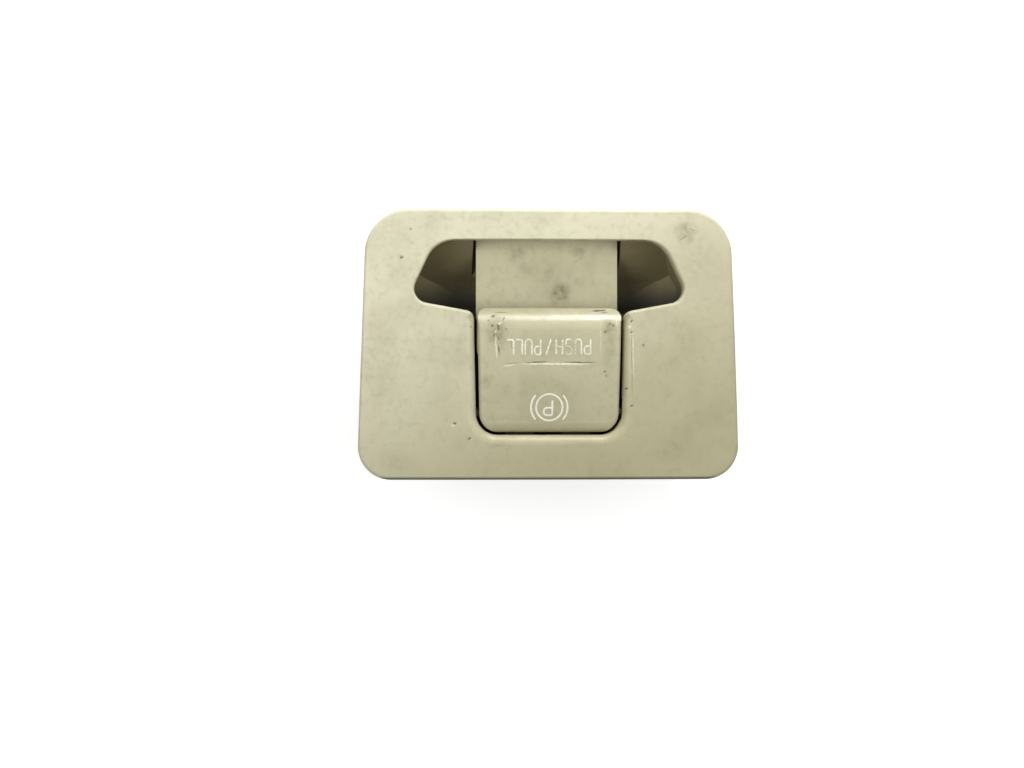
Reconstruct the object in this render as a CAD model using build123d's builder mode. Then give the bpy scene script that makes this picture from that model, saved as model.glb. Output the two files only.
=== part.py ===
from build123d import *
from OCP.BRepFilletAPI import BRepFilletAPI_MakeFillet
from math import asin, copysign, cos, degrees, radians, sin
import os

# Pull handle switch for a parking brake, in millimetres.
# X is across the face, +Y is up as installed, +Z points out of the panel.
# z = 0 is the front of the panel that the bezel seats on, and the origin is the bezel's middle.

os.makedirs("parts", exist_ok=True)

# Fits and clearances
pin_press = 0.01
running_fit = 0.05
thread_gap = 0.06
screw_clearance = 0.2
seat_gap = 0.1
loose_gap = 0.3

# Bezel outline and dome
bezel_height = 57.0
bezel_low_width = 77.0
bezel_high_width = 81.0
low_corner = 9.5
high_corner = 7.0
bezel_crown = 5.6
dome_across = 560.0
dome_upright = 430.0
dome_margin = 3.0
dome_block_depth = 30.0
bezel_wall = 2.2
low_band = 6.45
high_band = 9.45
side_band = 8.7
rim_round = 0.7
slot_round = 2.0
recess_round = 0.7
brow_round = 0.25
collar_wall = 1.3
collar_bottom = 1.2
notch_top = 3.3

# Handle
handle_lip_y = -7.8
lip_half_width = 15.18
end_half_width = 14.63
handle_proud = 0.35
handle_plate = 2.4
skirt_wall = 1.6
skirt_bottom = 1.2
lip_round = 4.9
hinge_round = 2.5
round_lift = 0.005
handle_arch = 113.0
handle_peak_y = -3.0
side_round = 0.9
lip_corner = 2.2
hinge_corner = 4.0
lip_nose_z = 1.6
cavity_ceiling = 2.8
cavity_floor = -4.0
cavity_back_y = 1.0
cheek_wall = 1.7
cheek_front_y = -5.4
tongue_wall = 2.2
tongue_tuck = 0.85
tongue_round = 2.1

# Slot and finger recess in the bezel
side_gap = 0.7
end_gap = 0.55
slot_corner = 4.6
slot_mouth_y = -6.87
slot_mouth_corner = 2.0
recess_taper = 5.9
recess_low_corner = 6.4
recess_wide_y = -9.46
recess_wide_corner = 3.0

# Finger well
well_wall = 1.4
channel_wall = 1.0
well_floor = -14.0
well_side_round = 4.0
well_end_round = 11.0
well_ramp_top = 0.4
well_ramp_round = 2.0
well_ramp_foot_y = -13.2
channel_floor = -11.0
channel_end_gap = 0.9
well_tab_inset = 5.3
well_tab_y = -4.0
well_tab_radius = 2.4
well_tab_thickness = 1.6

# Pivot and travel
pivot_inset = 4.0
pivot_z = -0.5
pull_angle = 6.5
push_angle = 5.0
pivot_pin_radius = 1.25
bush_wall = 0.65
bush_flange = 0.4
bush_flange_radius = 2.4
pivot_eye_radius = 2.6
frame_eye_radius = 2.9
frame_ear_inner = 15.9
frame_ear_thickness = 2.0
carrier_ear_inner = 11.0
fork_reach = 15.5
fork_tip_radius = 1.5
fork_leg_x = 8.0
fork_leg_width = 2.0
fork_leg_thickness = 2.4

# Handle carrier and its symbol insert
carrier_plate = 1.6
carrier_gap = 0.2
symbol_inset = 5.3
insert_width = 9.2
insert_height = 6.2
insert_thickness = 1.2
tail_inner_x = 3.0
tail_low_reach = 0.9
tail_high_reach = 5.1
tail_top = -0.6
tail_thickness = 1.6
handle_screw_x = 10.5
handle_screw_y = 6.2

# Springs
front_spring_x = 6.0
front_spring_y = 6.2
front_spring_radius = 1.75
rear_spring_x = 4.6
rear_spring_reach = 3.5
rear_spring_radius = 1.2
spring_wire_radius = 0.22
spring_spacing = 2.2
spring_peg_height = 2.4
spring_peg_gap = 0.25

# Mechanism frame
frame_side_gap = 1.4
frame_low_y = -4.2
frame_high_reach = 7.8
frame_top = -12.0
frame_plate = 1.5
frame_post_radius = 2.8
rail_wall = 1.5
rail_depth = 6.0
end_stop_wall = 1.3
frame_corner = 2.0

# Slider
slider_half_width = 13.0
slider_low_reach = 9.0
slider_high_reach = 5.0
slider_height = 6.4
slider_round = 0.8
tip_slot_depth = 4.8

# Light pipe
pipe_radius = 2.0
pipe_top = 0.8
pipe_flange_radius = 3.0
pipe_flange = 1.0
pipe_led_gap = 0.3

# Bumpers
bumper_x = 9.0
bumper_y = -1.4
bumper_radius = 1.9
bumper_gap = 0.08

# Housing and cover
housing_wall = 1.4
housing_corner = 5.0
housing_depth = 38.0
flange_reach = 3.0
flange_thickness = 1.2
flange_corner = 7.6
cover_thickness = 1.8
cover_screw_inset = 3.8
cover_post_radius = 2.5
cover_post_length = 9.0
cover_head_depth = 1.1
cover_screw_length = 7.5
cover_edge = 0.5
rib_width = 2.4

# Assembly screws
assembly_screw_inset = 5.2
assembly_low_reach = 11.0
assembly_high_reach = 2.5
boss_radius = 2.8
boss_bottom = -7.0
housing_post_radius = 3.0
housing_post_length = 7.0
assembly_screw_tip = -0.5

# Small screws, shared by all the self-tapping screws
screw_radius = 1.0
screw_head_radius = 1.9
screw_head_height = 1.5
screw_recess_radius = 0.85
screw_recess_depth = 0.8
small_screw_radius = 0.8
small_head_radius = 1.5
small_head_height = 1.1
small_recess_radius = 0.6
small_recess_depth = 0.6
tip_allowance = 0.5

# Circuit board
board_edge_gap = 1.0
board_thickness = 1.6
board_top = -23.0
board_corner = 2.0
board_screw_side = 2.9
board_screw_end = 2.6
board_post_radius = 2.5
board_post_length = 5.5
board_screw_length = 6.0
pad_thickness = 0.1
pad_width = 2.2
pad_length = 4.0
pad_gap = 0.8
wiper_reach = 7.8
wiper_gap = 0.08
wiper_thickness = 0.25
wiper_width = 1.6
wiper_base_width = 2.5
wiper_inset = 0.8
wiper_inner_x = 5.0
wiper_outer_x = 9.4
led_size = 3.2
led_height = 1.0
led_dome_radius = 0.9
chip_size = 8.0
chip_height = 1.2
chip_x = -17.0
chip_y = -13.0
chip_lead_length = 1.0
chip_lead_width = 0.4
chip_lead_height = 0.5
chip_lead_spacing = 1.0
chip_lead_count = 7
resistor_length = 3.2
resistor_width = 1.6
resistor_height = 0.6
resistor_spacing = 4.0
resistor_count = 5
resistor_x = 14.0
resistor_y = -14.0

# Connector
header_width = 26.0
header_height = 11.0
header_wall = 1.3
header_y = -8.0
header_base = 3.0
header_opening_gap = 0.3
header_key_width = 3.0
header_key_depth = 0.8
pin_radius = 0.4
pin_columns = 5
pin_column_spacing = 3.5
pin_row_spacing = 3.6
pin_length = 6.0
pin_solder_height = 1.0

# Retaining clips
clip_width = 8.0
clip_thickness = 0.5
clip_top = -2.4
clip_peak = -5.4
clip_root = -10.0
clip_bottom = -17.0
clip_reach = 2.3
clip_rail_width = 1.6
clip_rail_height = 1.3

# Places that follow from the bezel
recess_low_y = low_band - bezel_height / 2
recess_wide_half = bezel_low_width / 2 - side_band
recess_low_half = recess_wide_half - recess_taper
handle_end_y = bezel_height / 2 - high_band - end_gap
tongue_end_y = recess_low_y - tongue_tuck
symbol_y = handle_end_y - symbol_inset
pivot_y = handle_end_y - pivot_inset
tail_start_y = pivot_y - tail_low_reach
tail_end_y = pivot_y + tail_high_reach
rear_spring_y = pivot_y + rear_spring_reach
slider_low_y = pivot_y - slider_low_reach
slider_high_y = pivot_y + slider_high_reach
frame_high_y = pivot_y + frame_high_reach
assembly_screw_low_y = pivot_y - assembly_low_reach
assembly_screw_high_y = pivot_y + assembly_high_reach
well_tab_x = recess_wide_half - well_tab_inset

# Housing sizes that follow from what it holds
inner_half_width = recess_wide_half + well_wall
inner_half_height = channel_end_gap - tongue_end_y + channel_wall
inner_corner = housing_corner - housing_wall
housing_half_width = inner_half_width + housing_wall
housing_half_height = inner_half_height + housing_wall
flange_half_width = housing_half_width + flange_reach
cover_screw_x = housing_half_width - cover_screw_inset
cover_screw_y = housing_half_height - cover_screw_inset
assembly_screw_x = inner_half_width - assembly_screw_inset
frame_half_width = inner_half_width - frame_side_gap
board_half_width = inner_half_width - board_edge_gap
board_half_height = inner_half_height - board_edge_gap
board_screw_x = board_half_width - board_screw_side
board_screw_y = board_half_height - board_screw_end

# Derived levels and places
handle_crown = bezel_crown + handle_proud
plate_under = bezel_crown - handle_plate + handle_proud - loose_gap
slot_end_y = handle_end_y + end_gap
slot_mouth_half = lip_half_width + side_gap
slot_end_half = end_half_width + side_gap
cavity_radius = (cavity_ceiling - cavity_floor) / 2
cavity_middle_y = cavity_back_y - cavity_radius
cavity_middle_z = (cavity_ceiling + cavity_floor) / 2
web_radius = cavity_radius + tongue_wall
web_back_y = cavity_back_y + tongue_wall
tongue_under = cavity_floor - tongue_wall
channel_low_y = tongue_end_y - channel_end_gap
channel_half = lip_half_width + side_gap
fork_tip_z = pivot_z - fork_reach
pull_travel = fork_reach * radians(pull_angle)
push_travel = fork_reach * radians(push_angle)
frame_under = frame_top - frame_plate
slider_top = frame_under - seat_gap
slider_under = slider_top - slider_height
board_under = board_top - board_thickness
pad_top = board_top + pad_thickness
frame_ear_outer = frame_ear_inner + frame_ear_thickness
bush_outer_radius = pivot_pin_radius + running_fit + bush_wall
insert_under = plate_under - insert_thickness
carrier_under = plate_under - carrier_plate
carrier_half = end_half_width - skirt_wall - carrier_gap
carrier_end_y = handle_end_y - skirt_wall - carrier_gap
carrier_start_y = web_back_y + carrier_gap
led_top = board_top + led_height
header_tip = -housing_depth
cover_top = -housing_depth + cover_thickness
housing_post_under = frame_under - housing_post_length
assembly_points = [
    (side * assembly_screw_x, y)
    for side in (-1, 1)
    for y in (assembly_screw_low_y, assembly_screw_high_y)
]
board_points = [(sx * board_screw_x, sy * board_screw_y) for sx in (-1, 1) for sy in (-1, 1)]
cover_points = [(sx * cover_screw_x, sy * cover_screw_y) for sx in (-1, 1) for sy in (-1, 1)]
wiper_columns = [-wiper_outer_x, -wiper_inner_x, wiper_inner_x, wiper_outer_x]
pivot_in_section = (pivot_y, pivot_z)


def sweep_across(draw_profile, crown):
    """A profile along the part's middle line, swept sideways as the dome curves."""
    axis_z = crown - dome_across
    half_turn = asin((bezel_high_width / 2 + dome_margin) / dome_across)
    start = Plane(
        origin=(0, 0, axis_z), x_dir=(0, 1, 0), z_dir=(cos(half_turn), 0, sin(half_turn))
    )
    with BuildPart() as swept:
        with BuildSketch(start):
            with BuildLine():
                draw_profile()
            make_face()
        revolve(axis=Axis((0, 0, axis_z), (0, 1, 0)), revolution_arc=degrees(2 * half_turn))
    return swept.part


def dome_block(crown, inset=0.0, arch=dome_upright, peak_y=0.0):
    """A block whose top is a dome, or a shell inset below it, curved both ways and highest at peak_y."""
    across, upright = dome_across - inset, arch - inset
    half_reach = bezel_height / 2 + dome_margin
    edge = across - upright + (upright**2 - half_reach**2) ** 0.5
    base = across - dome_block_depth

    def profile():
        low_y, high_y = peak_y - half_reach, peak_y + half_reach
        top = ThreePointArc((low_y, edge), (peak_y, across), (high_y, edge))
        Polyline(top @ 1, (high_y, base), (low_y, base), top @ 0)

    return sweep_across(profile, crown)


def handle_end_cutter(end_y, radius):
    """What a large round takes off one end of the handle, meeting its dome nearly in line."""
    inward = copysign(1, -end_y)
    middle_y = end_y + inward * radius
    from_peak = middle_y - handle_peak_y
    middle = dome_across - handle_arch + ((handle_arch - radius) ** 2 - from_peak**2) ** 0.5 + round_lift
    outside_y, outside = end_y - inward * dome_margin, dome_across + dome_margin
    beyond = [(outside_y, middle), (outside_y, outside), (middle_y, outside)][:: int(inward)]

    def profile():
        # the profile runs the same way round at both ends, so that both are swept the same way
        round_line = CenterArc((middle_y, middle), radius, 90 if inward > 0 else 0, 90)
        Polyline(round_line @ 1, *beyond, round_line @ 0)

    return sweep_across(profile, handle_crown)


def bezel_outline(inset):
    """The bezel's rounded trapezoid, drawn inset from its outer edge."""
    low = bezel_low_width / 2 - inset
    high = bezel_high_width / 2 - inset
    half_height = bezel_height / 2 - inset
    corners = [(-low, -half_height), (low, -half_height), (high, half_height), (-high, half_height)]
    lower_round, upper_round = low_corner - inset, high_corner - inset
    radii = [lower_round, lower_round, upper_round, upper_round]
    with BuildLine() as outline:
        FilletPolyline(*corners, radius=radii, close=True)
    make_face(outline.edges())


def opening_outline(grow):
    """The finger recess and the handle slot as one opening, grown outwards."""
    right = [
        (recess_low_half + grow, recess_low_y - grow),
        (recess_wide_half + grow, recess_wide_y + grow),
        (slot_mouth_half + grow, slot_mouth_y + grow),
        (slot_end_half + grow, slot_end_y + grow),
    ]
    corner_radii = [
        recess_low_corner + grow,
        recess_wide_corner + grow,
        slot_mouth_corner,
        slot_corner + grow,
    ]
    left = [(-x, y) for x, y in reversed(right)]
    with BuildLine() as outline:
        FilletPolyline(*right, *left, radius=corner_radii + corner_radii[::-1], close=True)
    make_face(outline.edges())


def recess_outline(grow):
    """The finger recess alone, closed straight across under the handle's lip."""
    right = [
        (recess_low_half + grow, recess_low_y - grow),
        (recess_wide_half + grow, recess_wide_y + grow),
        (slot_mouth_half + grow, slot_mouth_y + grow),
    ]
    corner_radii = [recess_low_corner + grow, recess_wide_corner + grow, slot_mouth_corner]
    left = [(-x, y) for x, y in reversed(right)]
    with BuildLine() as outline:
        FilletPolyline(*right, *left, radius=corner_radii + corner_radii[::-1], close=True)
    make_face(outline.edges())


def handle_outline(inset, start_y=handle_lip_y, mode=Mode.ADD):
    """The handle's face, narrower at its hinge end, drawn inset from its edge."""
    low, high = lip_half_width - inset, end_half_width - inset
    start, end = start_y + inset, handle_end_y - inset
    corners = [(-low, start), (low, start), (high, end), (-high, end)]
    lip_radius = max(lip_corner - inset, side_round)
    hinge_radius = hinge_corner - inset
    with BuildLine() as outline:
        FilletPolyline(
            *corners, radius=[lip_radius, lip_radius, hinge_radius, hinge_radius], close=True
        )
    make_face(outline.edges(), mode=mode)


def cross_section(x=0.0):
    """A plane across the part at x, with Y to the right and Z up."""
    return Plane(origin=(x, 0, 0), x_dir=(0, 1, 0), z_dir=(1, 0, 0))


def make_screw(points, seat, shank_radius, shank_length, head_radius, head_height, recess):
    """Self-tapping screws driven upwards, each head's top face at the seat level."""
    recess_radius, recess_depth = recess
    with BuildPart() as screws:
        with BuildSketch(Plane.XY.offset(seat)):
            with Locations(*points):
                Circle(shank_radius)
        extrude(amount=shank_length)
        with BuildSketch(Plane.XY.offset(seat)):
            with Locations(*points):
                Circle(head_radius)
        extrude(amount=-head_height)
        with BuildSketch(Plane.XY.offset(seat - head_height)):
            with Locations(*points):
                RegularPolygon(recess_radius, 6)
        extrude(amount=recess_depth, mode=Mode.SUBTRACT)
    return screws


def make_spring(points, radius, bottom, top):
    """Compression springs that stand on the frame."""
    turn_length = top - bottom - 2 * spring_wire_radius
    with BuildPart() as springs:
        for x, y in points:
            start = bottom + spring_wire_radius
            with BuildLine() as coil:
                Helix(spring_spacing, turn_length, radius, center=(x, y, start))
            with BuildSketch(Plane(origin=coil.line @ 0, z_dir=coil.line % 0)):
                Circle(spring_wire_radius)
            sweep(path=coil.line, is_frenet=True)
    return springs


def opening_round(point):
    """The radius of the opening's edge at a point: large along the slot, smallest at the recess's brow."""
    if point.Y > slot_mouth_y:
        return slot_round
    return recess_round if point.Y > recess_low_y + seat_gap else brow_round


def round_opening(shape, edges):
    """Round the opening's edge, blended wherever its radius changes."""
    maker = BRepFilletAPI_MakeFillet(shape.wrapped)
    maker.Add(edges[0].wrapped)
    contour = 1
    for index in range(1, maker.NbEdges(contour) + 1):
        edge = Edge(maker.Edge(contour, index))
        start, end = (opening_round(edge.position_at(place)) for place in (0, 1))
        maker.SetRadius(start, end, contour, index)
    maker.Build()
    return Solid(maker.Shape())


def well_block(grow):
    """The finger well's bowl, grown outwards: a ramp from its low edge down to a round floor."""
    half_length = recess_wide_half + loose_gap + grow
    low_y = recess_low_y - loose_gap - grow
    high_y = slot_mouth_y + loose_gap + grow
    floor = well_floor - grow
    side_radius, end_radius = well_side_round + grow, well_end_round + grow
    end_height = collar_bottom - floor + 2 * end_radius
    with BuildPart() as block:
        with BuildSketch(Plane.XY.offset(collar_bottom)):
            recess_outline(loose_gap + grow)
        extrude(amount=floor - collar_bottom)
        with BuildSketch(cross_section(-half_length)):
            corners = [
                (low_y, collar_bottom),
                (low_y, well_ramp_top - grow),
                (well_ramp_foot_y - grow / 2, floor),
                (high_y, floor),
                (high_y, collar_bottom),
            ]
            with BuildLine() as profile:
                radii = [0, well_ramp_round, side_radius, side_radius, 0]
                FilletPolyline(*corners, radius=radii, close=True)
            make_face(profile.edges())
        extrude(amount=2 * half_length, mode=Mode.INTERSECT)
        with BuildSketch(Plane.XZ.offset(-high_y)):
            with Locations((0, floor + end_height / 2)):
                RectangleRounded(2 * half_length, end_height, end_radius)
        extrude(amount=high_y - low_y, mode=Mode.INTERSECT)
    return block.part


bezel_dome = dome_block(bezel_crown)
hollow_dome = dome_block(bezel_crown, bezel_wall)
collar_dome = dome_block(bezel_crown, bezel_wall / 2)
handle_dome = dome_block(handle_crown, arch=handle_arch, peak_y=handle_peak_y)
lip_cutter = handle_end_cutter(handle_lip_y, lip_round)
hinge_cutter = handle_end_cutter(handle_end_y, hinge_round)

# The bezel's inside, cut out of it below
with BuildPart() as bezel_hollow:
    with BuildSketch(Plane.XY):
        bezel_outline(bezel_wall)
    extrude(amount=bezel_crown)
    add(hollow_dome, mode=Mode.INTERSECT)

# Collar around the opening, which hides the inside
with BuildPart() as bezel_collar:
    with BuildSketch(Plane.XY.offset(collar_bottom)):
        opening_outline(collar_wall)
    extrude(amount=bezel_crown)
    add(collar_dome, mode=Mode.INTERSECT)

with BuildPart() as bezel:
    with BuildSketch(Plane.XY):
        bezel_outline(0)
    extrude(amount=bezel_crown)
    add(bezel_dome, mode=Mode.INTERSECT)
    fillet(bezel.faces().filter_by(GeomType.REVOLUTION).edges(), radius=rim_round)
    add(bezel_hollow.part, mode=Mode.SUBTRACT)
    add(bezel_collar.part)
    with BuildSketch(Plane.XY.offset(boss_bottom)):
        with Locations(*assembly_points):
            Circle(boss_radius)
    extrude(amount=bezel_crown - bezel_wall - boss_bottom)
    with BuildSketch(Plane.XY.offset(collar_bottom)):
        with Locations((-well_tab_x, well_tab_y), (well_tab_x, well_tab_y)):
            Circle(well_tab_radius)
    extrude(amount=bezel_crown - bezel_wall - collar_bottom)
    with BuildSketch(Plane.XY.offset(-bezel_crown)):
        opening_outline(0)
    extrude(amount=3 * bezel_crown, mode=Mode.SUBTRACT)
    outer_face = bezel.faces().filter_by(GeomType.REVOLUTION).sort_by(SortBy.AREA)[-1]
    opening_edges = outer_face.inner_wires()[0].edges()
    add(round_opening(bezel.part.solid(), opening_edges), mode=Mode.REPLACE)
    # notches in the collar for the frame's ears
    notch_middle = (frame_ear_inner + frame_ear_outer) / 2
    with BuildSketch(Plane.XY.offset(collar_bottom)):
        with Locations((-notch_middle, pivot_y), (notch_middle, pivot_y)):
            Rectangle(frame_ear_thickness + 2 * side_gap, 2 * (frame_eye_radius + loose_gap))
    extrude(amount=notch_top - collar_bottom, mode=Mode.SUBTRACT)
    # pilot holes for the assembly screws and the finger well's screws
    with BuildSketch(Plane.XY.offset(boss_bottom)):
        with Locations(*assembly_points):
            Circle(screw_radius + thread_gap)
    extrude(amount=assembly_screw_tip - boss_bottom + tip_allowance, mode=Mode.SUBTRACT)
    with BuildSketch(Plane.XY.offset(collar_bottom)):
        with Locations((-well_tab_x, well_tab_y), (well_tab_x, well_tab_y)):
            Circle(small_screw_radius + thread_gap)
    extrude(amount=bezel_wall, mode=Mode.SUBTRACT)
bezel.part.label = "bezel"

# Handle: face plate with skirts, rounded lip, web and tongue
with BuildPart() as handle:
    with BuildSketch(Plane.XY.offset(skirt_bottom)):
        handle_outline(0)
    extrude(amount=handle_crown)
    add(handle_dome, mode=Mode.INTERSECT)
    fillet(handle.faces().sort_by(Axis.Z)[-1].edges(), radius=side_round)
    # the lip's and the hinge end's large rounds
    add(hinge_cutter, mode=Mode.SUBTRACT)
    add(lip_cutter, mode=Mode.SUBTRACT)
    # hollow between the skirts
    with BuildSketch(Plane.XY.offset(skirt_bottom)):
        handle_outline(skirt_wall, start_y=web_back_y - skirt_wall)
    extrude(amount=plate_under - skirt_bottom, mode=Mode.SUBTRACT)
    # tongue, web and cheeks
    with BuildSketch(cross_section(-lip_half_width)):
        with BuildLine():
            web = Line((tongue_end_y, tongue_under), (cavity_middle_y, tongue_under))
            bend = CenterArc((cavity_middle_y, cavity_middle_z), web_radius, 270, 90)
            Polyline(
                bend @ 1,
                (web_back_y, plate_under + seat_gap),
                (handle_lip_y + lip_round, plate_under + seat_gap),
                (cheek_front_y, lip_nose_z),
                (cheek_front_y, cavity_floor),
                (tongue_end_y, cavity_floor),
                web @ 0,
            )
        make_face()
    extrude(amount=2 * lip_half_width)
    # finger cavity between the cheeks, and the lip's underside
    with BuildSketch(cross_section(cheek_wall - lip_half_width)):
        with BuildLine():
            floor_line = Line((tongue_end_y, cavity_floor), (cavity_middle_y, cavity_floor))
            back = CenterArc((cavity_middle_y, cavity_middle_z), cavity_radius, 270, 180)
            Polyline(
                back @ 1,
                (cheek_front_y, cavity_ceiling),
                (cheek_front_y - cheek_wall, lip_nose_z),
                (tongue_end_y, lip_nose_z),
                floor_line @ 0,
            )
        make_face()
    extrude(amount=2 * (lip_half_width - cheek_wall), mode=Mode.SUBTRACT)
    with BuildSketch(cross_section(-lip_half_width - side_round)):
        with Locations((cheek_front_y + cavity_floor, (lip_nose_z + cavity_floor) / 2)):
            Rectangle(-2 * cavity_floor, lip_nose_z - cavity_floor)
    extrude(amount=2 * (lip_half_width + side_round), mode=Mode.SUBTRACT)
    tongue_top_edges = (
        handle.edges().filter_by(Axis.Y).group_by(SortBy.LENGTH)[-1].filter_by(
            lambda edge: edge.center().Z < 0)
    )
    fillet(tongue_top_edges, radius=tongue_round)
    # pilot holes for the handle's screws
    with BuildSketch(Plane.XY.offset(plate_under)):
        with Locations((-handle_screw_x, handle_screw_y), (handle_screw_x, handle_screw_y)):
            Circle(small_screw_radius + thread_gap)
    extrude(amount=handle_plate / 2, mode=Mode.SUBTRACT)
handle.part.label = "handle"

# Carrier under the handle: plate, pivot ears, fork legs with round tips, and spring tails
with BuildPart() as handle_carrier:
    with BuildSketch(Plane.XY.offset(carrier_under)):
        with Locations((0, (carrier_start_y + carrier_end_y) / 2)):
            Rectangle(2 * carrier_half, carrier_end_y - carrier_start_y)
        with Locations((0, symbol_y)):
            Rectangle(
                insert_width + 2 * carrier_gap, insert_height + 2 * carrier_gap, mode=Mode.SUBTRACT
            )
    extrude(amount=carrier_plate)
    for side in (-1, 1):
        ear_width = carrier_half - carrier_ear_inner
        with BuildSketch(cross_section(side * carrier_ear_inner)):
            with Locations(pivot_in_section):
                Circle(pivot_eye_radius)
            with Locations((pivot_y - pivot_eye_radius, pivot_z)):
                Rectangle(
                    carrier_end_y - pivot_y + pivot_eye_radius,
                    carrier_under - pivot_z,
                    align=(Align.MIN, Align.MIN),
                )
        extrude(amount=side * ear_width)
        with BuildSketch(cross_section(side * (fork_leg_x - fork_leg_width / 2))):
            with Locations((pivot_y, fork_tip_z)):
                Circle(fork_tip_radius)
                Rectangle(
                    fork_leg_thickness, carrier_under - fork_tip_z, align=(Align.CENTER, Align.MIN)
                )
        extrude(amount=side * fork_leg_width)
        tail_width = fork_leg_x + fork_leg_width / 2 - tail_inner_x
        tail_middle = (tail_start_y + tail_end_y) / 2
        with BuildSketch(Plane.XY.offset(tail_top)):
            with Locations((side * (tail_inner_x + tail_width / 2), tail_middle)):
                Rectangle(tail_width, tail_end_y - tail_start_y)
        extrude(amount=-tail_thickness)
    # room for the handle's skirts
    with BuildSketch(Plane.XY.offset(skirt_bottom - carrier_gap)):
        handle_outline(-skirt_wall)
        handle_outline(skirt_wall + carrier_gap, mode=Mode.SUBTRACT)
    extrude(amount=handle_crown, mode=Mode.SUBTRACT)
    for side in (-1, 1):
        with BuildSketch(cross_section(side * carrier_ear_inner)):
            with Locations(pivot_in_section):
                Circle(pivot_pin_radius + pin_press)
        extrude(amount=side * (carrier_half - carrier_ear_inner), mode=Mode.SUBTRACT)
    with BuildSketch(Plane.XY.offset(carrier_under)):
        with Locations((-handle_screw_x, handle_screw_y), (handle_screw_x, handle_screw_y)):
            Circle(small_screw_radius + screw_clearance)
    extrude(amount=carrier_plate, mode=Mode.SUBTRACT)
handle_carrier.part.label = "handle_carrier"

handle_screws = make_screw(
    [(-handle_screw_x, handle_screw_y), (handle_screw_x, handle_screw_y)],
    carrier_under,
    small_screw_radius,
    carrier_plate + handle_plate / 2 - tip_allowance,
    small_head_radius,
    small_head_height,
    (small_recess_radius, small_recess_depth),
)
handle_screws.part.label = "handle_screws"

# Translucent insert under the brake symbol
with BuildPart() as symbol_insert:
    with BuildSketch(Plane.XY.offset(insert_under)):
        with Locations((0, symbol_y)):
            Rectangle(insert_width, insert_height)
    extrude(amount=insert_thickness)
    fillet(symbol_insert.edges().filter_by(Axis.Z), radius=carrier_plate / 2)
symbol_insert.part.label = "symbol_insert"

# Pivot pins, pressed in the carrier and turning in the frame's bushes
with BuildPart() as pivot_pins:
    for side in (-1, 1):
        with BuildSketch(cross_section(side * carrier_ear_inner)):
            with Locations(pivot_in_section):
                Circle(pivot_pin_radius)
        extrude(amount=side * (frame_ear_outer - carrier_ear_inner))
    pin_rims = pivot_pins.edges().filter_by(GeomType.CIRCLE)
    chamfer(pin_rims, length=pivot_pin_radius / 5)
pivot_pins.part.label = "pivot_pins"

with BuildPart() as pivot_bushes:
    for side in (-1, 1):
        with BuildSketch(cross_section(side * frame_ear_inner)):
            with Locations(pivot_in_section):
                Circle(bush_outer_radius)
        extrude(amount=side * frame_ear_thickness)
        with BuildSketch(cross_section(side * frame_ear_outer)):
            with Locations(pivot_in_section):
                Circle(bush_flange_radius)
        extrude(amount=side * bush_flange)
    with BuildSketch(cross_section(-frame_ear_outer - bush_flange)):
        with Locations(pivot_in_section):
            Circle(pivot_pin_radius + running_fit)
    extrude(amount=2 * (frame_ear_outer + bush_flange), mode=Mode.SUBTRACT)
pivot_bushes.part.label = "pivot_bushes"

# Finger well: one moulded tub with a pocket on each side and a channel under the tongue
well_pocket = well_block(0)
well_shell = well_block(well_wall)

with BuildPart() as finger_well:
    add(well_shell)
    channel_length = slot_mouth_y - channel_low_y
    channel_middle = (slot_mouth_y + channel_low_y) / 2
    with BuildSketch(Plane.XY.offset(collar_bottom)):
        with Locations((0, channel_middle)):
            Rectangle(
                2 * (channel_half + channel_wall), channel_length + 2 * channel_wall
            )
    extrude(amount=channel_floor - channel_wall - collar_bottom)
    for side in (-1, 1):
        with BuildSketch(Plane.XY.offset(collar_bottom)):
            with Locations((side * well_tab_x, well_tab_y)):
                Circle(well_tab_radius)
                Rectangle(
                    2 * well_tab_radius,
                    well_tab_y - recess_wide_y,
                    align=(Align.CENTER, Align.MAX),
                )
        extrude(amount=-well_tab_thickness)
    add(well_pocket, mode=Mode.SUBTRACT)
    with BuildSketch(Plane.XY.offset(collar_bottom)):
        with Locations((0, channel_low_y)):
            Rectangle(
                2 * channel_half,
                channel_length + 2 * well_wall + web_radius,
                align=(Align.CENTER, Align.MIN),
            )
    extrude(amount=channel_floor - collar_bottom, mode=Mode.SUBTRACT)
    with BuildSketch(Plane.XY.offset(collar_bottom)):
        with Locations((-well_tab_x, well_tab_y), (well_tab_x, well_tab_y)):
            Circle(small_screw_radius + screw_clearance)
    extrude(amount=-well_tab_thickness, mode=Mode.SUBTRACT)
finger_well.part.label = "finger_well"

well_screws = make_screw(
    [(-well_tab_x, well_tab_y), (well_tab_x, well_tab_y)],
    collar_bottom - well_tab_thickness,
    small_screw_radius,
    well_tab_thickness + bezel_wall - tip_allowance,
    small_head_radius,
    small_head_height,
    (small_recess_radius, small_recess_depth),
)
well_screws.part.label = "well_screws"

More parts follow.
